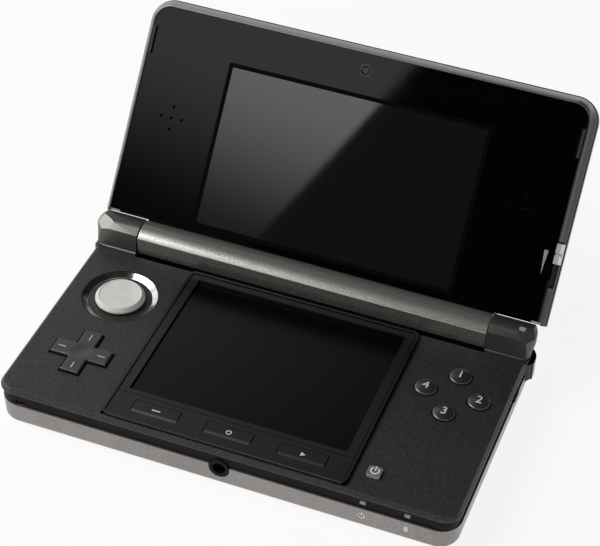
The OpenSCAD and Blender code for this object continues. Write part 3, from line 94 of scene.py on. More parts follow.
class ConsoleSizes(bpy.types.PropertyGroup):
    edge: FloatProperty(
        name="Shell edge", description="Rounding along the shells' edges",
        default=0.16 * MM, min=0.02 * MM, max=0.5 * MM, precision=5, unit="LENGTH", subtype="DISTANCE")
    small_edge: FloatProperty(
        name="Control edge", description="Rounding along the edges of the round buttons",
        default=0.4 * MM, min=0.02 * MM, max=0.6 * MM, precision=5, unit="LENGTH", subtype="DISTANCE")
    numeral: FloatProperty(
        name="Numeral height", description="Height of the numerals on the round buttons",
        default=2.7 * MM, min=1 * MM, max=4 * MM, precision=5, unit="LENGTH", subtype="DISTANCE")
    mark: FloatProperty(
        name="Bar width", description="Width of the bar on the left strip button",
        default=2.4 * MM, min=1 * MM, max=5 * MM, precision=5, unit="LENGTH", subtype="DISTANCE")
    fleck: FloatProperty(
        name="Paint fleck", description="Size of the flecks in the metallic paint",
        default=0.22 * MM, min=0.05 * MM, max=1 * MM, precision=5, unit="LENGTH", subtype="DISTANCE")
    rounding: IntProperty(
        name="Edge steps", description="Steps across each rounded edge", default=2, min=1, max=4)


class ConsoleColours(bpy.types.PropertyGroup):
    plate: FloatVectorProperty(
        name="Face plate", description="Paint of the face plate and the lower screen's frame",
        default=(0.0128, 0.0125, 0.0112), min=0, max=1, size=3, subtype="COLOR")
    silver: FloatVectorProperty(
        name="Bottom cover", description="Metallic paint of the bottom cover",
        default=(0.27, 0.25, 0.238), min=0, max=1, size=3, subtype="COLOR")
    hinge: FloatVectorProperty(
        name="Hinge", description="Satin paint of the barrel and the knuckles",
        default=(0.47, 0.462, 0.43), min=0, max=1, size=3, subtype="COLOR")
    panel: FloatVectorProperty(
        name="Lid", description="Glossy black of the lid's panel and cover",
        default=(0.0008, 0.0008, 0.0009), min=0, max=1, size=3, subtype="COLOR")
    rim: FloatVectorProperty(
        name="Rim", description="Silver paint of the lid's rim",
        default=(0.17, 0.167, 0.163), min=0, max=1, size=3, subtype="COLOR")
    pad: FloatVectorProperty(
        name="Thumb pad", description="Rubber of the thumb pad's cap",
        default=(0.67, 0.663, 0.635), min=0, max=1, size=3, subtype="COLOR")
    ink: FloatVectorProperty(
        name="Marks", description="Printed marks and numerals",
        default=(0.62, 0.62, 0.61), min=0, max=1, size=3, subtype="COLOR")


def sizes():
    return bpy.context.scene.console_sizes


def colours():
    return bpy.context.scene.console_colours


# Shader maths

class Wire:
    """A shader socket that takes part in Python sums and adds the Math nodes for them."""

    def __init__(self, finish, socket):
        self.finish = finish
        self.socket = socket

    def maths(self, operation, *others):
        return self.finish.maths(operation, self, *others)

    def __add__(self, other):
        return self.maths("ADD", other)

    def __sub__(self, other):
        return self.maths("SUBTRACT", other)

    def __rsub__(self, other):
        return self.finish.maths("SUBTRACT", other, self)

    def __mul__(self, other):
        return self.maths("MULTIPLY", other)

    __radd__ = __add__
    __rmul__ = __mul__

    def between(self, low, high):
        """0 at low, 1 at high, and smooth from one to the other."""
        return self.finish.node(
            "ShaderNodeMapRange", {"interpolation_type": "SMOOTHSTEP"},
            {"Value": self, "From Min": low, "From Max": high})


class Finish:
    """A material in the making."""

    def __init__(self, name, **constants):
        self.material = bpy.data.materials.new(name)
        self.material.use_nodes = True
        self.tree = self.material.node_tree
        self.shader = self.tree.nodes["Principled BSDF"]
        self.give(**constants)

    def feed(self, socket, value):
        if isinstance(value, Wire):
            self.tree.links.new(value.socket, socket)
        else:
            socket.default_value = value

    def node(self, kind, settings=None, inputs=None, output=0):
        """Adds a node: first its settings, then the values or links of its sockets."""
        made = self.tree.nodes.new(kind)
        for key, value in (settings or {}).items():
            setattr(made, key, value)
        for key, value in (inputs or {}).items():
            self.feed(made.inputs[key], value)
        return Wire(self, made.outputs[output])

    def give(self, **values):
        """Sets or links the shader's own sockets, whose names have _ for a space."""
        for key, value in values.items():
            socket = self.shader.inputs[key.replace("_", " ")]
            if socket.type == "RGBA" and not isinstance(value, Wire):
                value = (*value, 1.0)
            self.feed(socket, value)

    def maths(self, operation, *terms):
        return self.node("ShaderNodeMath", {"operation": operation}, dict(enumerate(terms)))

    def where(self, stretch=(1, 1, 1), turn=(0, 0, 0), centre=(0, 0, 0)):
        """The place on the object, seen from a centre, turned and stretched."""
        place = self.node("ShaderNodeTexCoord", output="Object")
        place = self.node(
            "ShaderNodeVectorMath", {"operation": "SUBTRACT"}, {0: place, 1: tuple(centre)})
        return self.node("ShaderNodeMapping", {}, {"Vector": place, "Rotation": turn, "Scale": stretch})

    def axes(self, place=None):
        """The x, y and z of a place, as three numbers."""
        apart = self.node("ShaderNodeSeparateXYZ", {}, {0: place or self.where()})
        return [Wire(self, output) for output in apart.socket.node.outputs]

    def noise(self, size, detail=2.0, rough=0.5, place=None):
        """A cloudy pattern between 0 and 1, with patches of about the size."""
        return self.node("ShaderNodeTexNoise", {}, {
            "Vector": place or self.where(), "Scale": 1 / size, "Detail": detail, "Roughness": rough})

    def cells(self, size):
        """A random number for each small cell."""
        colour = self.node(
            "ShaderNodeTexVoronoi", {}, {"Vector": self.where(), "Scale": 1 / size}, output="Color")
        return self.node("ShaderNodeSeparateColor", {}, {0: colour})

    def blend(self, share, first, second):
        """The first colour where the share is 0, and the second where it is 1."""
        first, second = (
            value if isinstance(value, Wire) else (*value, 1.0) for value in (first, second))
        return self.node(
            "ShaderNodeMix", {"data_type": "RGBA"}, {0: share, 6: first, 7: second}, output=2)

    def tones(self, pattern, colour, dark, light, low=0.3, high=0.7):
        """Two tones of a colour, the dark one where the pattern is low."""
        return self.blend(pattern.between(low, high), shade(colour, dark), shade(colour, light))

    def bump(self, height, depth):
        self.give(Normal=self.node(
            "ShaderNodeBump", {}, {"Strength": 1.0, "Distance": depth, "Height": height}))


class Sky(Finish):
    """A world in the making."""

    def __init__(self, name):
        self.world = bpy.data.worlds.new(name)
        self.world.use_nodes = True
        self.tree = self.world.node_tree
        self.shader = self.tree.nodes["Background"]


def shade(colour, factor):
    return tuple(min(1.0, channel * factor) for channel in colour)


# Finishes

def metallic_paint(name, colour, metal, roughness, fleck_gain, fleck_start):
    """Paint with fine flecks that are lighter than the coat round them. The cells whose random number
    is above fleck_start are flecks."""
    finish = Finish(name, Specular_IOR_Level=0.5)
    size = sizes().fleck
    flecks = finish.cells(size).between(fleck_start, 1.0)
    fine = finish.noise(size * 0.6)
    coat = finish.tones(finish.noise(14 * MM, 1.0), colour, 0.94, 1.06, low=0.35, high=0.65)
    finish.give(
        Base_Color=finish.blend(flecks, coat, shade(colour, fleck_gain)),
        Metallic=metal + flecks * (0.9 - metal) * 0.5,
        Roughness=roughness + (fine - 0.5) * 0.12)
    finish.bump(fine, 0.012 * MM)
    return finish.material


def moulding(name, colour, roughness, grain=0.25 * MM, spec=0.4):
    """Moulded plastic with a fine spark-eroded texture."""
    finish = Finish(name, Specular_IOR_Level=spec)
    texture = finish.noise(grain, 3.0, 0.6)
    finish.give(
        Base_Color=finish.tones(finish.noise(9 * MM, 1.0), colour, 0.9, 1.15),
        Roughness=roughness + (texture - 0.5) * 0.14)
    finish.bump(texture, 0.015 * MM)
    return finish.material


def gloss(name, colour, roughness=0.05, spec=0.3):
    """Polished plastic: a hint of haze and hairline marks from wiping."""
    finish = Finish(name, Specular_IOR_Level=spec)
    haze = finish.noise(11 * MM)
    wiped = finish.noise(2.2 * MM, 3.0, 0.6, finish.where(stretch=(1, 14, 14), turn=(0, 0, 0.5)))
    finish.give(
        Base_Color=finish.tones(haze, colour, 0.8, 1.3),
        Roughness=roughness + haze.between(0.4, 0.8) * 0.02 + wiped.between(0.62, 0.8) * 0.03)
    finish.bump(haze, 0.004 * MM)
    return finish.material


def satin_metal(name, colour, roughness, metal=0.85, grain_stretch=(1, 1, 1)):
    """Satin metallic paint or metal with a faint drawn grain."""
    finish = Finish(name, Specular_IOR_Level=0.5, Metallic=metal)
    grain = finish.noise(0.35 * MM, 3.0, 0.6, finish.where(stretch=grain_stretch))
    drift = finish.noise(10 * MM, 1.0)
    finish.give(
        Base_Color=finish.tones(grain, colour, 0.95, 1.05, low=0.25, high=0.75),
        Roughness=roughness + (grain - 0.5) * 0.05 + (drift - 0.5) * 0.03)
    finish.bump(grain, 0.0008 * MM)
    return finish.material


def rim_paint(name, colour):
    """The rim's silver paint, with painted shade that darkens it down its sides and at its hinge end,
    and a painted highlight that lightens the rest.
    """
    finish = Finish(name, Specular_IOR_Level=0.5, Metallic=0.85)
    x, y, _ = finish.axes()
    # The two masks mark where painted shade falls: down the rim's sides, and at its hinge end.
    side = (x * x).between((64.0 * MM) ** 2, (66.5 * MM) ** 2)
    hinge = y.between(46 * MM, 42 * MM)
    fine = finish.noise(0.15 * MM)
    finish.give(
        # A painted highlight, a lighter copy of the silver, where neither mask is; painted shade, a
        # darker copy, where either is.
        Base_Color=finish.blend(side.maths("MAXIMUM", hinge), shade(colour, 1.4), shade(colour, 0.28)),
        Roughness=0.25 + (fine - 0.5) * 0.1)
    finish.bump(fine, 0.006 * MM)
    return finish.material


def turned_metal(name, colour, node):
    """Polished metal with the fine rings that turning leaves round a node's middle, and a dark outer
    edge."""
    low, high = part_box(node)
    outer = (high.x - low.x) / 2
    finish = Finish(name, Metallic=1.0)
    x, y, _ = finish.axes(finish.where(centre=(low + high) / 2))
    radius = (x * x + y * y).maths("SQRT")
    rings = (radius * (2 * math.pi / (0.12 * MM))).maths("SINE")
    haze = finish.noise(3 * MM)
    edge = radius.between(outer - 0.42 * MM, outer - 0.24 * MM)
    finish.give(
        Base_Color=finish.blend(edge, finish.tones(haze, colour, 0.9, 1.08), shade(colour, 0.06)),
        Roughness=0.12 + rings * 0.02 + haze * 0.06)
    finish.bump(rings, 0.003 * MM)
    return finish.material


def rubber(name, colour, roughness=0.6):
    """Soft rubber with a fine matt skin."""
    finish = Finish(name, Specular_IOR_Level=0.35)
    skin = finish.noise(0.3 * MM, 3.0, 0.65)
    finish.give(
        Base_Color=finish.tones(finish.noise(3.5 * MM), colour, 0.94, 1.04),
        Roughness=roughness + (skin - 0.5) * 0.2)
    finish.bump(skin, 0.02 * MM)
    return finish.material


def screen(name, colour, roughness, spec):
    """A display that is switched off: dark glass over a faint grid of picture points."""
    finish = Finish(name, Specular_IOR_Level=spec)
    x, y, _ = finish.axes()
    pitch = 2 * math.pi / (0.24 * MM)
    grid = ((x * pitch).maths("SINE") * (y * pitch).maths("SINE") + 1) * 0.5
    haze = finish.noise(16 * MM, 1.0)
    film = finish.noise(0.4 * MM)
    finish.give(
        Base_Color=finish.blend(grid, shade(colour, 0.92), shade(colour, 1.08)),
        Roughness=roughness + haze * 0.02 + film * 0.02)
    finish.bump(film, 0.0015 * MM)
    return finish.material


def ink(name, colour):
    """Printed marks: slightly uneven ink."""
    finish = Finish(name, Specular_IOR_Level=0.3)
    body = finish.noise(0.15 * MM)
    finish.give(
        Base_Color=finish.tones(body, colour, 0.88, 1.08),
        Roughness=0.5 + (body - 0.5) * 0.2)
    finish.bump(body, 0.004 * MM)
    return finish.material


def circuit_board(name):
    """Green solder mask with traces and pads."""
    finish = Finish(name, Specular_IOR_Level=0.5)
    tracks = finish.noise(2.4 * MM, 0.0, 0.5, finish.where(stretch=(0.35, 1, 1)))
    trace = (tracks * 9).maths("FRACT").between(0.8, 0.9)
    pads = finish.cells(1.6 * MM).between(0.93, 0.97)
    mask = finish.blend(trace, (0.01, 0.07, 0.03), (0.03, 0.16, 0.07))
    finish.give(
        Base_Color=finish.blend(pads, mask, (0.6, 0.5, 0.25)),
        Metallic=pads,
        Roughness=0.45 - trace * 0.1)
    finish.bump(trace + pads, 0.03 * MM)
    return finish.material


def lens_glass(name):
    """Coated lens glass with a faint, uneven violet bloom."""
    finish = Finish(name, Specular_IOR_Level=0.4, Coat_Weight=0.1, Coat_Roughness=0.02)
    bloom = finish.noise(1.2 * MM, 1.0)
    finish.give(
        Base_Color=finish.blend(bloom, (0.002, 0.002, 0.003), (0.006, 0.005, 0.01)),
        Roughness=0.03 + bloom * 0.03)
    return finish.material


def milky_window(name, colour):
    """A milky light window, unlit."""
    finish = Finish(name, Specular_IOR_Level=0.5)
    cloud = finish.noise(0.8 * MM)
    finish.give(
        Base_Color=finish.blend(cloud, shade(colour, 0.8), shade(colour, 1.15)),
        Roughness=0.3 + cloud * 0.1)
    finish.bump(cloud, 0.01 * MM)
    return finish.material


finishes_made = {}


def finish_for(slot):
    """The finish of a slot, made once. Slots that the record doesn't have are this script's own."""
    if slot in finishes_made:
        return finishes_made[slot]
    tint = colours()
    makers = {
        "silver_plastic": lambda n: metallic_paint(
            n, tint.silver, metal=0.75, roughness=0.34, fleck_gain=1.5, fleck_start=0.8),
        "charcoal_paint": lambda n: metallic_paint(
            n, tint.plate, metal=0.0, roughness=0.4, fleck_gain=6.0, fleck_start=0.66),
        "black_plastic": lambda n: moulding(n, (0.0045, 0.0045, 0.0045), 0.5, spec=0.12),
        "frame_paint": lambda n: moulding(n, shade(tint.plate, 0.42), 0.3, grain=0.3 * MM, spec=0.55),
        "mask": lambda n: moulding(n, (0.0012, 0.0012, 0.0012), 0.4, grain=0.3 * MM, spec=0.03),
        "button_gloss": lambda n: moulding(n, (0.019, 0.019, 0.0187), 0.3, grain=0.4 * MM, spec=1.0),
        "display_module": lambda n: moulding(n, (0.1, 0.11, 0.13), 0.4),
        "carrier_plastic": lambda n: moulding(n, (0.045, 0.045, 0.045), 0.5),
        "speaker_metal": lambda n: moulding(n, (0.04, 0.04, 0.04), 0.5),
        "stylus_plastic": lambda n: moulding(n, (0.12, 0.122, 0.13), 0.35),
        "nib_plastic": lambda n: moulding(n, (0.015, 0.015, 0.015), 0.4),
        "hinge_paint": lambda n: satin_metal(n, tint.hinge, 0.27, grain_stretch=(0.12, 1, 1)),
        # The knuckles' paint is the hinge paint darkened to about a quarter: painted shade on the
        # knuckles.
        "knuckle_paint": lambda n: satin_metal(n, shade(tint.hinge, 0.24), 0.38),
        "power_grey": lambda n: satin_metal(n, (0.3, 0.3, 0.295), 0.3, metal=0.7),
        "bright_slider": lambda n: satin_metal(
            n, (0.75, 0.74, 0.73), 0.25, metal=0.6, grain_stretch=(0.12, 1, 1)),
        "steel": lambda n: satin_metal(
            n, (0.55, 0.55, 0.54), 0.25, metal=1.0, grain_stretch=(1, 0.1, 1)),
        # The rim's paint carries painted shade on its sides and hinge end, and a painted highlight
        # elsewhere.
        "rim_silver": lambda n: rim_paint(n, tint.rim),
        "ring_chrome": lambda n: turned_metal(n, (0.8, 0.8, 0.79), "slide_pad_ring"),
        "gloss_black": lambda n: gloss(n, tint.panel),
        "cell_wrap": lambda n: gloss(n, (0.05, 0.055, 0.08), 0.3, spec=0.5),
        "infrared_plastic": lambda n: gloss(n, (0.02, 0.002, 0.004), 0.06, spec=0.6),
        "screen_glass": lambda n: screen(n, (0.0065, 0.0068, 0.007), 0.01, spec=1.0),
        "touch_film": lambda n: screen(n, (0.0012, 0.0013, 0.0013), 0.1, spec=0.32),
        "pad_rubber": lambda n: rubber(n, tint.pad),
        "mat_rubber": lambda n: rubber(n, (0.42, 0.42, 0.4), 0.55),
        "bumper_rubber": lambda n: rubber(n, (0.015, 0.015, 0.015), 0.55),
        "light_window": lambda n: milky_window(n, (0.3, 0.3, 0.29)),
        "board": circuit_board,
        "camera_gloss": lens_glass,
        "printed_ink": lambda n: ink(n, tint.ink),
        "grey_ink": lambda n: ink(n, shade(tint.ink, 0.45)),
        # The brightened ink is a lighter copy of the printed ink: painted light that makes up for the
        # dim light on the cover's upright front.
        "bright_ink": lambda n: ink(n, shade(tint.ink, 1.45)),
    }
    finishes_made[slot] = makers[slot](slot)
    return finishes_made[slot]


# Making pieces

def piece(name, bm, body, slot, replaces=(), material=None):
    """Turns a finished bmesh into a piece that rides on a body."""
    mesh = bpy.data.meshes.new(name)
    bm.to_mesh(mesh)
    bm.free()
    mesh.polygons.foreach_set("use_smooth", [True] * len(mesh.polygons))
    mesh.set_sharp_from_angle(angle=SMOOTH_UNDER)
    made = bpy.data.objects.new(name, mesh)
    bpy.context.scene.collection.objects.link(made)
    mesh.materials.append(material or finish_for(slot))
    weighted = made.modifiers.new("weighted", "WEIGHTED_NORMAL")
    weighted.keep_sharp = True
    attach(made, body)
    if replaces:
        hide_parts(*replaces)


def softened(nodes, width, steps=None, sharp=28, material=None, seams=(), shape=None):
    """A copy of a CAD node that stands for the node, with each edge rounded whose angle is above sharp
    degrees. Nodes that are given together become one piece, and seams are the (axis, place) planes
    where they met. A function given as shape may move the vertices first."""
    nodes = (nodes,) if isinstance(nodes, str) else nodes
    bm = bmesh.new()
    for node in nodes:
        bm.from_mesh(NODES[node].data)
    bmesh.ops.remove_doubles(bm, verts=bm.verts, dist=SAME_CAD_POINT)
    for axis, place in seams:
        met = [f for f in bm.faces if all(abs(v.co[axis] - place) < ON_SEAM for v in f.verts)]
        bmesh.ops.delete(bm, geom=met, context="FACES")
    bmesh.ops.dissolve_limit(
        bm, angle_limit=FLAT, verts=bm.verts[:], edges=bm.edges[:], use_dissolve_boundaries=False)
    if shape:
        shape(bm)
    edges = [
        e for e in bm.edges
        if len(e.link_faces) == 2 and e.calc_face_angle(0.0) > math.radians(sharp)]
    bmesh.ops.bevel(
        bm, geom=edges, offset=width, offset_type="OFFSET", segments=steps or sizes().rounding,
        profile=0.5, affect="EDGES", clamp_overlap=True, material=-1)
    first = nodes[0]
    piece(first + "_finished", bm, BODY_OF[first], SLOT_OF[first], nodes, material)


def dress(*nodes, material=None):
    """Gives CAD nodes that stay as they are their finish."""
    for node in nodes:
        mesh = NODES[node].data
        mesh.materials.clear()
        mesh.materials.append(material or finish_for(SLOT_OF[node]))


def moved(bm, matrix):
    bmesh.ops.transform(bm, matrix=matrix, verts=bm.verts[:])


def set_on(node, bm, lift, rearward=0.0):
    """Moves what was made round the origin to the middle of a node's top, lifted by lift."""
    low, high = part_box(node)
    moved(bm, Matrix.Translation(((low.x + high.x) / 2, (low.y + high.y) / 2 + rearward, high.z + lift)))


def joined(*parts):
    """One bmesh out of several."""
    whole = bmesh.new()
    for part in parts:
        mesh = bpy.data.meshes.new("part")
        part.to_mesh(mesh)
        part.free()
        whole.from_mesh(mesh)
        bpy.data.meshes.remove(mesh)
    return whole


def lathe(profile, steps):
    """A closed turned shape about the Z axis from points (radius, height), in millimetres."""
    bm = bmesh.new()
    verts = [bm.verts.new((r * MM, 0, z * MM)) for r, z in profile]
    edges = [bm.edges.new(pair) for pair in zip(verts, verts[1:])]
    bmesh.ops.spin(
        bm, geom=verts + edges, cent=(0, 0, 0), axis=(0, 0, 1), angle=2 * math.pi, steps=steps,
        use_merge=True, use_duplicate=False)
    bmesh.ops.remove_doubles(bm, verts=bm.verts, dist=SAME_POINT)
    bmesh.ops.recalc_face_normals(bm, faces=bm.faces)
    return bm


def thickened(bm, thickness):
    """Makes a flat sheet on z 0 into a plate, from z 0 up."""
    out = bmesh.ops.extrude_face_region(bm, geom=bm.faces[:])
    upper = [v for v in out["geom"] if isinstance(v, bmesh.types.BMVert)]
    bmesh.ops.translate(bm, vec=(0, 0, thickness), verts=upper)
    bmesh.ops.recalc_face_normals(bm, faces=bm.faces)
    return bm


def plate_of(points, thickness):
    """A thin flat plate over a closed outline of (x, y) points, in metres, from z 0 up."""
    bm = bmesh.new()
    bm.faces.new([bm.verts.new((x, y, 0)) for x, y in points])
    return thickened(bm, thickness)


def oblong(left, low, right, high):
    """The corners of an upright rectangle."""
    return [(left, low), (right, low), (right, high), (left, high)]


def ring_mark(outer, inner, thickness, steps, opening=0.0):
    """A flat ring, or an arc that leaves an opening, an angle in radians, at the top."""
    bm = bmesh.new()
    start = math.pi / 2 + opening / 2
    section = ((inner, 0), (outer, 0), (outer, thickness), (inner, thickness))
    verts = [bm.verts.new((r * math.cos(start), r * math.sin(start), z)) for r, z in section]
    face = bm.faces.new(verts)
    bmesh.ops.spin(
        bm, geom=[face] if opening else face.edges[:] + verts, cent=(0, 0, 0), axis=(0, 0, 1),
        angle=2 * math.pi - opening, steps=steps, use_merge=not opening, use_duplicate=False)
    if not opening and face.is_valid:
        bmesh.ops.delete(bm, geom=[face], context="FACES_ONLY")
    bmesh.ops.remove_doubles(bm, verts=bm.verts, dist=SAME_POINT)
    bmesh.ops.recalc_face_normals(bm, faces=bm.faces)
    return bm


def power_sign(radius, thickness):
    """The common sign for power: a ring that is open at the top, with a bar."""
    half = 0.12 * radius
    bar = plate_of(oblong(-half, 0.1 * radius, half, 1.2 * radius), thickness)
    return joined(ring_mark(radius, 0.76 * radius, thickness, 32, math.radians(70)), bar)


def numeral(text, height):
    """A thin numeral, centred on the origin, as a bmesh."""
    curve = bpy.data.curves.new("numeral", "FONT")
    curve.body = text
    curve.size = height / NUMERAL_SHARE_OF_FONT
    curve.extrude = PRINT_THICKNESS
    curve.align_x = "CENTER"
    curve.align_y = "CENTER"
    holder = bpy.data.objects.new("numeral", curve)
    bpy.context.scene.collection.objects.link(holder)
    bpy.context.view_layer.update()
    mesh = bpy.data.meshes.new_from_object(
        holder.evaluated_get(bpy.context.evaluated_depsgraph_get()))
    bm = bmesh.new()
    bm.from_mesh(mesh)
    bpy.data.objects.remove(holder)
    bpy.data.meshes.remove(mesh)
    bpy.data.curves.remove(curve)
    bmesh.ops.remove_doubles(bm, verts=bm.verts, dist=SAME_POINT)
    return bm


def front_of(node, x, z):
    """The foremost point of a CAD node's surface at x and z."""
    bm = bmesh.new()
    bm.from_mesh(NODES[node].data)
    place = BVHTree.FromBMesh(bm).ray_cast(Vector((x, -0.1, z)), Vector((0, 1, 0)))[0]
    bm.free()
    if place is None:
        raise RuntimeError("nothing of " + node + " lies there")
    return place


# Operators, one for each piece or group of like pieces

class CONSOLE_OT_shells(bpy.types.Operator):
    """Rounds and paints the base's shells"""
    bl_idname = "console.shells"
    bl_label = "Base shells"
    bl_options = {"REGISTER", "UNDO"}

    def execute(self, context):
        width = sizes().edge
        softened(PLATES, width, seams=((0, 0.0), (1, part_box("left_rear_plate")[0].y)))
        softened("bottom_cover", 1.8 * width, steps=3)
        softened("lower_housing", 0.08 * MM, steps=1)
        softened("memory_card_door", 0.08 * MM)
        dress("cover_screws")
        return {"FINISHED"}


class CONSOLE_OT_hinge(bpy.types.Operator):
    """Rounds and paints the barrel and the corner knuckles"""
    bl_idname = "console.hinge"
    bl_label = "Hinge"
    bl_options = {"REGISTER", "UNDO"}

    def execute(self, context):
        softened("hinge_barrel", sizes().edge, steps=3)
        for node in ("left_knuckle", "right_knuckle"):
            # The knuckles take the darkened copy of the hinge paint, which is painted shade.
            softened(
                node, 0.1 * MM, sharp=12, steps=2, material=finish_for("knuckle_paint"),
                shape=self.thin_foot)
        dress("hinge_units", "notice_light")
        return {"FINISHED"}

    def thin_foot(self, bm):
        """Brings the crease over the knuckle's foot down and forward, so that the foot is thin."""
        crease = FACE_TOP + 1.1 * MM
        front = min(v.co.y for v in bm.verts)
        for vert in bm.verts:
            if abs(vert.co.z - crease) < 0.06 * MM and vert.co.y < HINGE.y - 3 * MM:
                vert.co.y = front + 0.3 * MM
                vert.co.z = FACE_TOP + 0.45 * MM
                if abs(vert.co.x) > 60 * MM:
                    vert.co.x = math.copysign(65.1 * MM, vert.co.x)


class CONSOLE_OT_lid(bpy.types.Operator):
    """Rounds and finishes the lid's cover, rim and panel"""
    bl_idname = "console.lid"
    bl_label = "Lid"
    bl_options = {"REGISTER", "UNDO"}

    def execute(self, context):
        for node in ("lid_cover", "lid_rim"):
            softened(node, sizes().edge)
        softened("lid_panel", 0.08 * MM)
        softened("upper_screen", 0.05 * MM)
        softened("lid_bumpers", 0.08 * MM)
        dress("upper_display", "lid_speakers")
        self.border()
        return {"FINISHED"}

    def border(self):
        """The matt black border printed round the upper screen."""
        to_lid = IN_LID.inverted()
        points = [to_lid @ v.co for v in NODES["upper_screen"].data.vertices]
        left, right = min(p.x for p in points), max(p.x for p in points)
        low, high = min(p.y for p in points), max(p.y for p in points)
        beyond = 1.2 * MM
        overlap = 0.02 * MM
        lift = 0.148 * MM
        bm = bmesh.new()
        bmesh.ops.create_grid(bm, x_segments=1, y_segments=1, size=0.5)
        bmesh.ops.scale(
            bm, vec=(right - left + 2 * beyond, high - low + 2 * beyond, 1), verts=bm.verts)
        bmesh.ops.inset_region(
            bm, faces=bm.faces[:], thickness=beyond + overlap, use_even_offset=True, use_boundary=True)
        inner = [f for f in bm.faces if f.calc_center_median().length < SAME_CAD_POINT]
        bmesh.ops.delete(bm, geom=inner, context="FACES")
        thickened(bm, 0.02 * MM)
        moved(bm, IN_LID @ Matrix.Translation(((left + right) / 2, (low + high) / 2, lift)))
        piece("screen_mask", bm, "lid", "mask")


class CONSOLE_OT_depth_slider(bpy.types.Operator):
    """Finishes the depth slider and prints the wedge beside it"""
    bl_idname = "console.depth_slider"
    bl_label = "Depth slider"
    bl_options = {"REGISTER", "UNDO"}

    def execute(self, context):
        softened("depth_slider", 0.1 * MM, material=finish_for("bright_slider"))
        outline = [(61.8 * MM, 26.7 * MM), (62.4 * MM, 19.8 * MM), (63.0 * MM, 26.7 * MM)]
        wedge = plate_of(outline, 0.02 * MM)
        moved(wedge, IN_LID @ Matrix.Translation((0, 0, 0.15 * MM)))
        piece("depth_wedge", wedge, "lid", "grey_ink")
        return {"FINISHED"}


class CONSOLE_OT_lower_screen(bpy.types.Operator):
    """Finishes the lower screen, its frame and bezel"""
    bl_idname = "console.lower_screen"
    bl_label = "Lower screen"
    bl_options = {"REGISTER", "UNDO"}

    def execute(self, context):
        softened("screen_frame", 0.28 * MM, steps=3, material=finish_for("frame_paint"))
        softened("screen_bezel", 0.1 * MM, material=finish_for("frame_paint"))
        softened("touch_panel", 0.04 * MM, steps=1, material=finish_for("touch_film"))
        dress("lower_display")
        return {"FINISHED"}


class CONSOLE_OT_slide_pad(bpy.types.Operator):
    """Builds the thumb pad's cap and finishes its ring"""
    bl_idname = "console.slide_pad"
    bl_label = "Slide pad"
    bl_options = {"REGISTER", "UNDO"}

    def execute(self, context):
        softened("slide_pad_ring", 0.12 * MM)
        dress("slide_pad_housing", "slide_pad_carriage")
        dress("slide_pad_floor", material=finish_for("charcoal_paint"))
        self.cap()
        return {"FINISHED"}

    def cap(self):
        """The thumb pad's cap: a foot, a thin stem, and a broad bevel up to a rounded lip round a dish.
        The profile is in millimetres."""
        low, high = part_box("slide_pad_cap")
        reach = (high.x - low.x) / 2 / MM
        top, bottom = high.z / MM, low.z / MM
        under, foot_top = top - 1.9, bottom + 0.5
        foot = [(0, bottom), (3.4, bottom), (3.4, foot_top)]
        stem = [(1.6, foot_top), (1.6, under)]
        side = [(reach - 0.4, under), (reach, top - 1.4), (reach, top - 1.1), (reach - 0.1, top - 0.9)]
        turns = [math.radians(a) for a in range(55, -66, -15)]
        lip = [(reach - 1.05 + 0.3 * math.sin(a), top - 0.3 + 0.3 * math.cos(a)) for a in turns]
        shares = (1, 0.85, 0.7, 0.55, 0.4, 0.25, 0.12, 0)
        dish = [((reach - 1.45) * share, top - 0.16 - 0.3 * (1 - share ** 2)) for share in shares]
        bm = lathe(foot + stem + side + lip + dish, 128)
        moved(bm, Matrix.Translation(((low.x + high.x) / 2, (low.y + high.y) / 2, 0)))
        piece("slide_pad_cap_finished", bm, "slide_pad_cap", "pad_rubber", ("slide_pad_cap",))


class CONSOLE_OT_cross_pad(bpy.types.Operator):
    """Rounds the cross pad and prints a line on each arm"""
    bl_idname = "console.cross_pad"
    bl_label = "Cross pad"
    bl_options = {"REGISTER", "UNDO"}

    def execute(self, context):
        softened("cross_pad", 0.22 * MM, steps=3)
        dress("cross_pad_pivot", "cross_pad_foot")
        low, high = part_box("cross_pad")
        reach = (high.x - low.x) / 2
        half = 0.13 * MM
        lines = []
        for quarter in range(4):
            line = plate_of(oblong(reach - 3.55 * MM, -half, reach - 1.35 * MM, half), 0.13 * MM)
            moved(line, Matrix.Rotation(quarter * math.pi / 2, 4, "Z"))
            lines.append(line)
        lines = joined(*lines)
        set_on("cross_pad", lines, -0.16 * MM)
        piece("cross_pad_lines", lines, "cross_pad", "printed_ink")
        return {"FINISHED"}


class CONSOLE_OT_round_buttons(bpy.types.Operator):
    """Rounds the four buttons and prints a plain numeral on each"""
    bl_idname = "console.round_buttons"
    bl_label = "Round buttons"
    bl_options = {"REGISTER", "UNDO"}

    def execute(self, context):
        for number, side in enumerate(("top", "right", "bottom", "left"), 1):
            node = side + "_button"
            softened(node, sizes().small_edge, steps=4)
            mark = numeral(str(number), sizes().numeral)
            self.bend(mark)
            set_on(node, mark, 0.0)
            piece(node + "_numeral", mark, node, "printed_ink")
        return {"FINISHED"}

    def bend(self, mark):
        """Cuts a numeral into rows and lays it over the button's domed top."""
        dome = 9 * MM
        over, under = 0.07 * MM, -0.12 * MM
        for row in range(-4, 5):
            bmesh.ops.bisect_plane(
                mark, geom=mark.verts[:] + mark.edges[:] + mark.faces[:],
                plane_co=(0, row * 0.35 * MM, 0), plane_no=(0, 1, 0))
        for vert in mark.verts:
            fall = (vert.co.x ** 2 + vert.co.y ** 2) / (2 * dome)
            vert.co.z = (over if vert.co.z > 0 else under) - fall


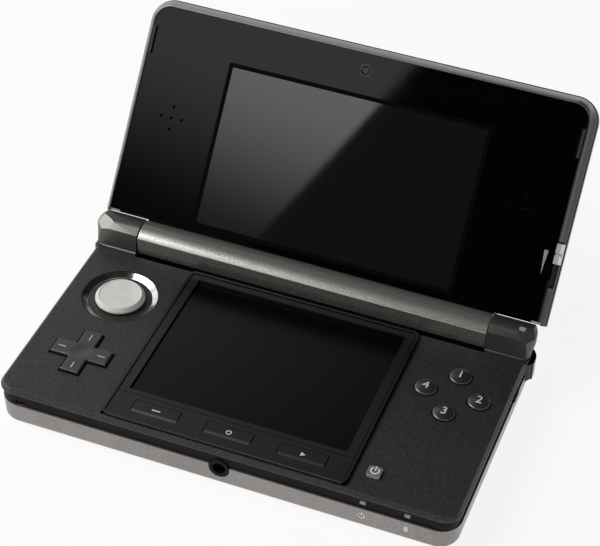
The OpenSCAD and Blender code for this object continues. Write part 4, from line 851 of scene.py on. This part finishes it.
class CONSOLE_OT_power_button(bpy.types.Operator):
    """Rounds the power button and prints its mark"""
    bl_idname = "console.power_button"
    bl_label = "Power button"
    bl_options = {"REGISTER", "UNDO"}

    def execute(self, context):
        softened("power_button", 0.1 * MM)
        mark = power_sign(1.25 * MM, PRINT_THICKNESS)
        set_on("power_button", mark, -PRINT_SINK, rearward=0.3 * MM)
        # The power mark is printed in the brightened ink, a lighter copy of the printed ink: painted
        # light.
        piece("power_mark", mark, "power_button", "bright_ink")
        return {"FINISHED"}


class CONSOLE_OT_strip_buttons(bpy.types.Operator):
    """Rounds the three strip buttons and prints a bar, a ring and a triangle on them"""
    bl_idname = "console.strip_buttons"
    bl_label = "Strip buttons"
    bl_options = {"REGISTER", "UNDO"}

    def execute(self, context):
        half = sizes().mark / 2
        bar = oblong(-half, -0.2 * MM, half, 0.2 * MM)
        triangle = [(-0.6 * MM, -0.7 * MM), (0.8 * MM, 0), (-0.6 * MM, 0.7 * MM)]
        marks = {
            "left_strip_button": plate_of(bar, PRINT_THICKNESS),
            "middle_strip_button": ring_mark(0.8 * MM, 0.5 * MM, PRINT_THICKNESS, 40),
            "right_strip_button": plate_of(triangle, PRINT_THICKNESS),
        }
        for node, mark in marks.items():
            softened(node, 0.15 * MM, steps=3, material=finish_for("frame_paint"))
            set_on(node, mark, -PRINT_SINK)
            piece(node + "_mark", mark, node, "printed_ink")
        return {"FINISHED"}


class CONSOLE_OT_cameras(bpy.types.Operator):
    """Finishes the inner and outer cameras"""
    bl_idname = "console.cameras"
    bl_label = "Cameras"
    bl_options = {"REGISTER", "UNDO"}

    def execute(self, context):
        dress("inner_camera", "outer_cameras")
        return {"FINISHED"}


class CONSOLE_OT_sockets(bpy.types.Operator):
    """Finishes the sockets, lights, switches and shoulder buttons"""
    bl_idname = "console.sockets"
    bl_label = "Sockets and switches"
    bl_options = {"REGISTER", "UNDO"}

    def execute(self, context):
        for node in ("headphone_socket", "left_shoulder_button", "right_shoulder_button"):
            softened(node, 0.15 * MM)
        for node in ("volume_slider", "wireless_switch", "status_lights", "stylus"):
            softened(node, 0.07 * MM)
        dress(
            "card_socket", "memory_card_socket", "power_inlet", "infrared_window", "microphone",
            "shoulder_pins", "stylus_holder", "stylus_nib")
        self.signs()
        return {"FINISHED"}

    def signs(self):
        """A power sign and a plain battery sign on the cover, under the two status lights."""
        thickness = 0.16 * MM
        sink = 0.06 * MM
        height = 4.6 * MM
        lights = [v.co.x for v in NODES["status_lights"].data.vertices]
        middle = (min(lights) + max(lights)) / 2
        groups = ([x for x in lights if x < middle], [x for x in lights if x >= middle])
        first, second = (sum(group) / len(group) for group in groups)
        cell = [
            (-0.55, -0.9), (0.55, -0.9), (0.55, 0.6), (0.25, 0.6),
            (0.25, 0.9), (-0.25, 0.9), (-0.25, 0.6), (-0.55, 0.6)]
        battery = plate_of([(x * MM, y * MM) for x, y in cell], thickness)
        upright = Matrix.Rotation(math.pi / 2, 4, "X")
        for name, x, sign in (
                ("power_sign", first, power_sign(1 * MM, thickness)), ("battery_sign", second, battery)):
            place = front_of("bottom_cover", x, height) + Vector((0, sink, 0))
            moved(sign, Matrix.Translation(place) @ upright)
            # The signs are printed in the brightened ink: painted light that makes up for the dimmer
            # light on the cover's upright front.
            piece(name, sign, "base", "bright_ink")


class CONSOLE_OT_inside(bpy.types.Operator):
    """Finishes what lies inside the base"""
    bl_idname = "console.inside"
    bl_label = "Inside"
    bl_options = {"REGISTER", "UNDO"}

    def execute(self, context):
        dress("main_board", "battery", "button_mats")
        return {"FINISHED"}


class CONSOLE_OT_stage(bpy.types.Operator):
    """Sets the pale floor, the studio light and the camera"""
    bl_idname = "console.stage"
    bl_label = "Stage"
    bl_options = {"REGISTER", "UNDO"}

    def execute(self, context):
        context.scene.view_settings.view_transform = "Standard"
        pale = self.pale()
        self.floor(pale)
        self.backdrop(pale)
        self.world(context.scene)
        self.lamp("key", place=(-0.75, -0.2, 0.79), width=0.8, height=0.6, power=12)
        self.lamp("fill", place=(0.55, -0.75, 0.8), width=0.8, height=0.8, power=1.5)
        self.card()
        self.camera(context.scene)
        return {"FINISHED"}

    def pale(self):
        """Pale floor material: white to the camera and in reflections, and it keeps a soft shadow."""
        white_share = 0.88
        finish = Finish("pale_stage", Specular_IOR_Level=0.0)
        tone = finish.noise(0.5, 1.0)
        finish.give(
            Base_Color=finish.blend(tone, (0.86, 0.86, 0.86), (0.88, 0.88, 0.88)), Roughness=0.9)
        camera, glossy, through = (
            finish.node("ShaderNodeLightPath", output=name)
            for name in ("Is Camera Ray", "Is Glossy Ray", "Is Transmission Ray"))
        seen = camera.maths("MAXIMUM", glossy).maths("MAXIMUM", through)
        white = finish.node("ShaderNodeEmission", {}, {"Color": (1, 1, 1, 1), "Strength": 1.0})
        plain = Wire(finish, finish.shader.outputs[0])
        mixed = finish.node("ShaderNodeMixShader", {}, {0: seen * white_share, 1: plain, 2: white})
        finish.feed(finish.tree.nodes["Material Output"].inputs["Surface"], mixed)
        return finish.material

    def floor(self, pale):
        bm = bmesh.new()
        bmesh.ops.create_grid(bm, x_segments=8, y_segments=8, size=4)
        self.stage_piece("floor", bm, pale)

    def backdrop(self, pale):
        """A low wall all round, far behind the console."""
        radius, height = 3.2, 1.5
        bm = bmesh.new()
        bmesh.ops.create_cone(
            bm, cap_ends=False, segments=64, radius1=radius, radius2=radius, depth=height,
            matrix=Matrix.Translation((0, 0, height / 2)))
        bmesh.ops.reverse_faces(bm, faces=bm.faces)
        self.stage_piece("backdrop", bm, pale)

    def card(self):
        """A soft reflector card that shows in the glossy lid, brighter towards its top."""
        corners = (
            (-0.0737, -0.2650, 0.3734), (-0.1765, -0.3547, 0.1900),
            (-0.4136, -0.3057, 0.1796), (-0.3273, -0.1846, 0.4073))
        bm = bmesh.new()
        bm.faces.new([bm.verts.new(corner) for corner in corners])
        bmesh.ops.subdivide_edges(bm, edges=bm.edges[:], cuts=4, use_grid_fill=True)
        finish = Finish("card", Specular_IOR_Level=0.0, Base_Color=(0, 0, 0), Emission_Strength=1.0)
        height = finish.axes()[2]
        finish.give(Emission_Color=height.between(0.243, 0.322) * 1.25 + 0.08)
        card = self.stage_piece("card", bm, finish.material)
        card.visible_camera = False
        card.visible_shadow = False
        card.visible_diffuse = False
        card.visible_transmission = False

    def stage_piece(self, name, bm, material):
        mesh = bpy.data.meshes.new(name)
        bm.to_mesh(mesh)
        bm.free()
        mesh.materials.append(material)
        made = bpy.data.objects.new(name, mesh)
        bpy.context.scene.collection.objects.link(made)
        return made

    def world(self, scene):
        """Dim studio surroundings with a glow at the rear left."""
        sky = Sky("studio")
        x, y, z = sky.axes(sky.node("ShaderNodeTexCoord", output="Generated"))
        glow = x.between(-0.05, -0.5) * y.between(0.0, 0.5) * z.between(0.85, 0.45)
        sky.give(Color=glow * 1.6 + 0.012)
        scene.world = sky.world

    def lamp(self, name, place, width, height, power):
        """An oblong lamp, in metres and watts, that is aimed at the console's middle."""
        aim = Vector((0, 0.02, 0.02))
        data = bpy.data.lights.new(name, "AREA")
        data.shape = "RECTANGLE"
        data.size = width
        data.size_y = height
        data.energy = power
        lamp = bpy.data.objects.new(name, data)
        bpy.context.scene.collection.objects.link(lamp)
        lamp.location = place
        lamp.rotation_euler = (aim - Vector(place)).to_track_quat("-Z", "Y").to_euler()
        lamp.visible_camera = False

    def camera(self, scene):
        """The camera, where a fit to the measured edges puts it. The turn's columns are its axes."""
        right = Vector((0.9339924, 0.3561489, 0.0285681))
        down = Vector((0.2532446, -0.6034789, -0.7560955))
        ahead = Vector((-0.2520424, 0.7134221, -0.6538374))
        data = bpy.data.cameras.new("camera")
        data.sensor_width = 36
        data.lens = 120.4
        data.clip_start = 0.01
        camera = bpy.data.objects.new("camera", data)
        scene.collection.objects.link(camera)
        turn = Matrix((right, -down, -ahead)).transposed().to_4x4()
        camera.matrix_world = Matrix.Translation((0.14014, -0.37490, 0.39127)) @ turn
        scene.camera = camera


OPERATORS = (
    CONSOLE_OT_shells, CONSOLE_OT_hinge, CONSOLE_OT_lid, CONSOLE_OT_depth_slider,
    CONSOLE_OT_lower_screen, CONSOLE_OT_slide_pad, CONSOLE_OT_cross_pad, CONSOLE_OT_round_buttons,
    CONSOLE_OT_power_button, CONSOLE_OT_strip_buttons, CONSOLE_OT_cameras, CONSOLE_OT_sockets,
    CONSOLE_OT_inside, CONSOLE_OT_stage,
)


class CONSOLE_PT_sidebar(bpy.types.Panel):
    """Lists the console's sizes, colours and steps"""
    bl_idname = "CONSOLE_PT_sidebar"
    bl_label = "Clamshell console"
    bl_space_type = "VIEW_3D"
    bl_region_type = "UI"
    bl_category = "Console"

    def draw(self, context):
        for group in (context.scene.console_sizes, context.scene.console_colours):
            box = self.layout.box()
            for name in group.bl_rna.properties.keys():
                if name not in ("rna_type", "name"):
                    box.prop(group, name)
        for operator in OPERATORS:
            self.layout.operator(operator.bl_idname)


CLASSES = (ConsoleSizes, ConsoleColours, *OPERATORS, CONSOLE_PT_sidebar)


def register():
    for cls in CLASSES:
        bpy.utils.register_class(cls)
    bpy.types.Scene.console_sizes = PointerProperty(type=ConsoleSizes)
    bpy.types.Scene.console_colours = PointerProperty(type=ConsoleColours)


def unregister():
    del bpy.types.Scene.console_colours
    del bpy.types.Scene.console_sizes
    for cls in reversed(CLASSES):
        bpy.utils.unregister_class(cls)


def main():
    register()
    for operator in OPERATORS:
        group, name = operator.bl_idname.split(".")
        getattr(getattr(bpy.ops, group), name)()


if __name__ == "__main__":
    main()
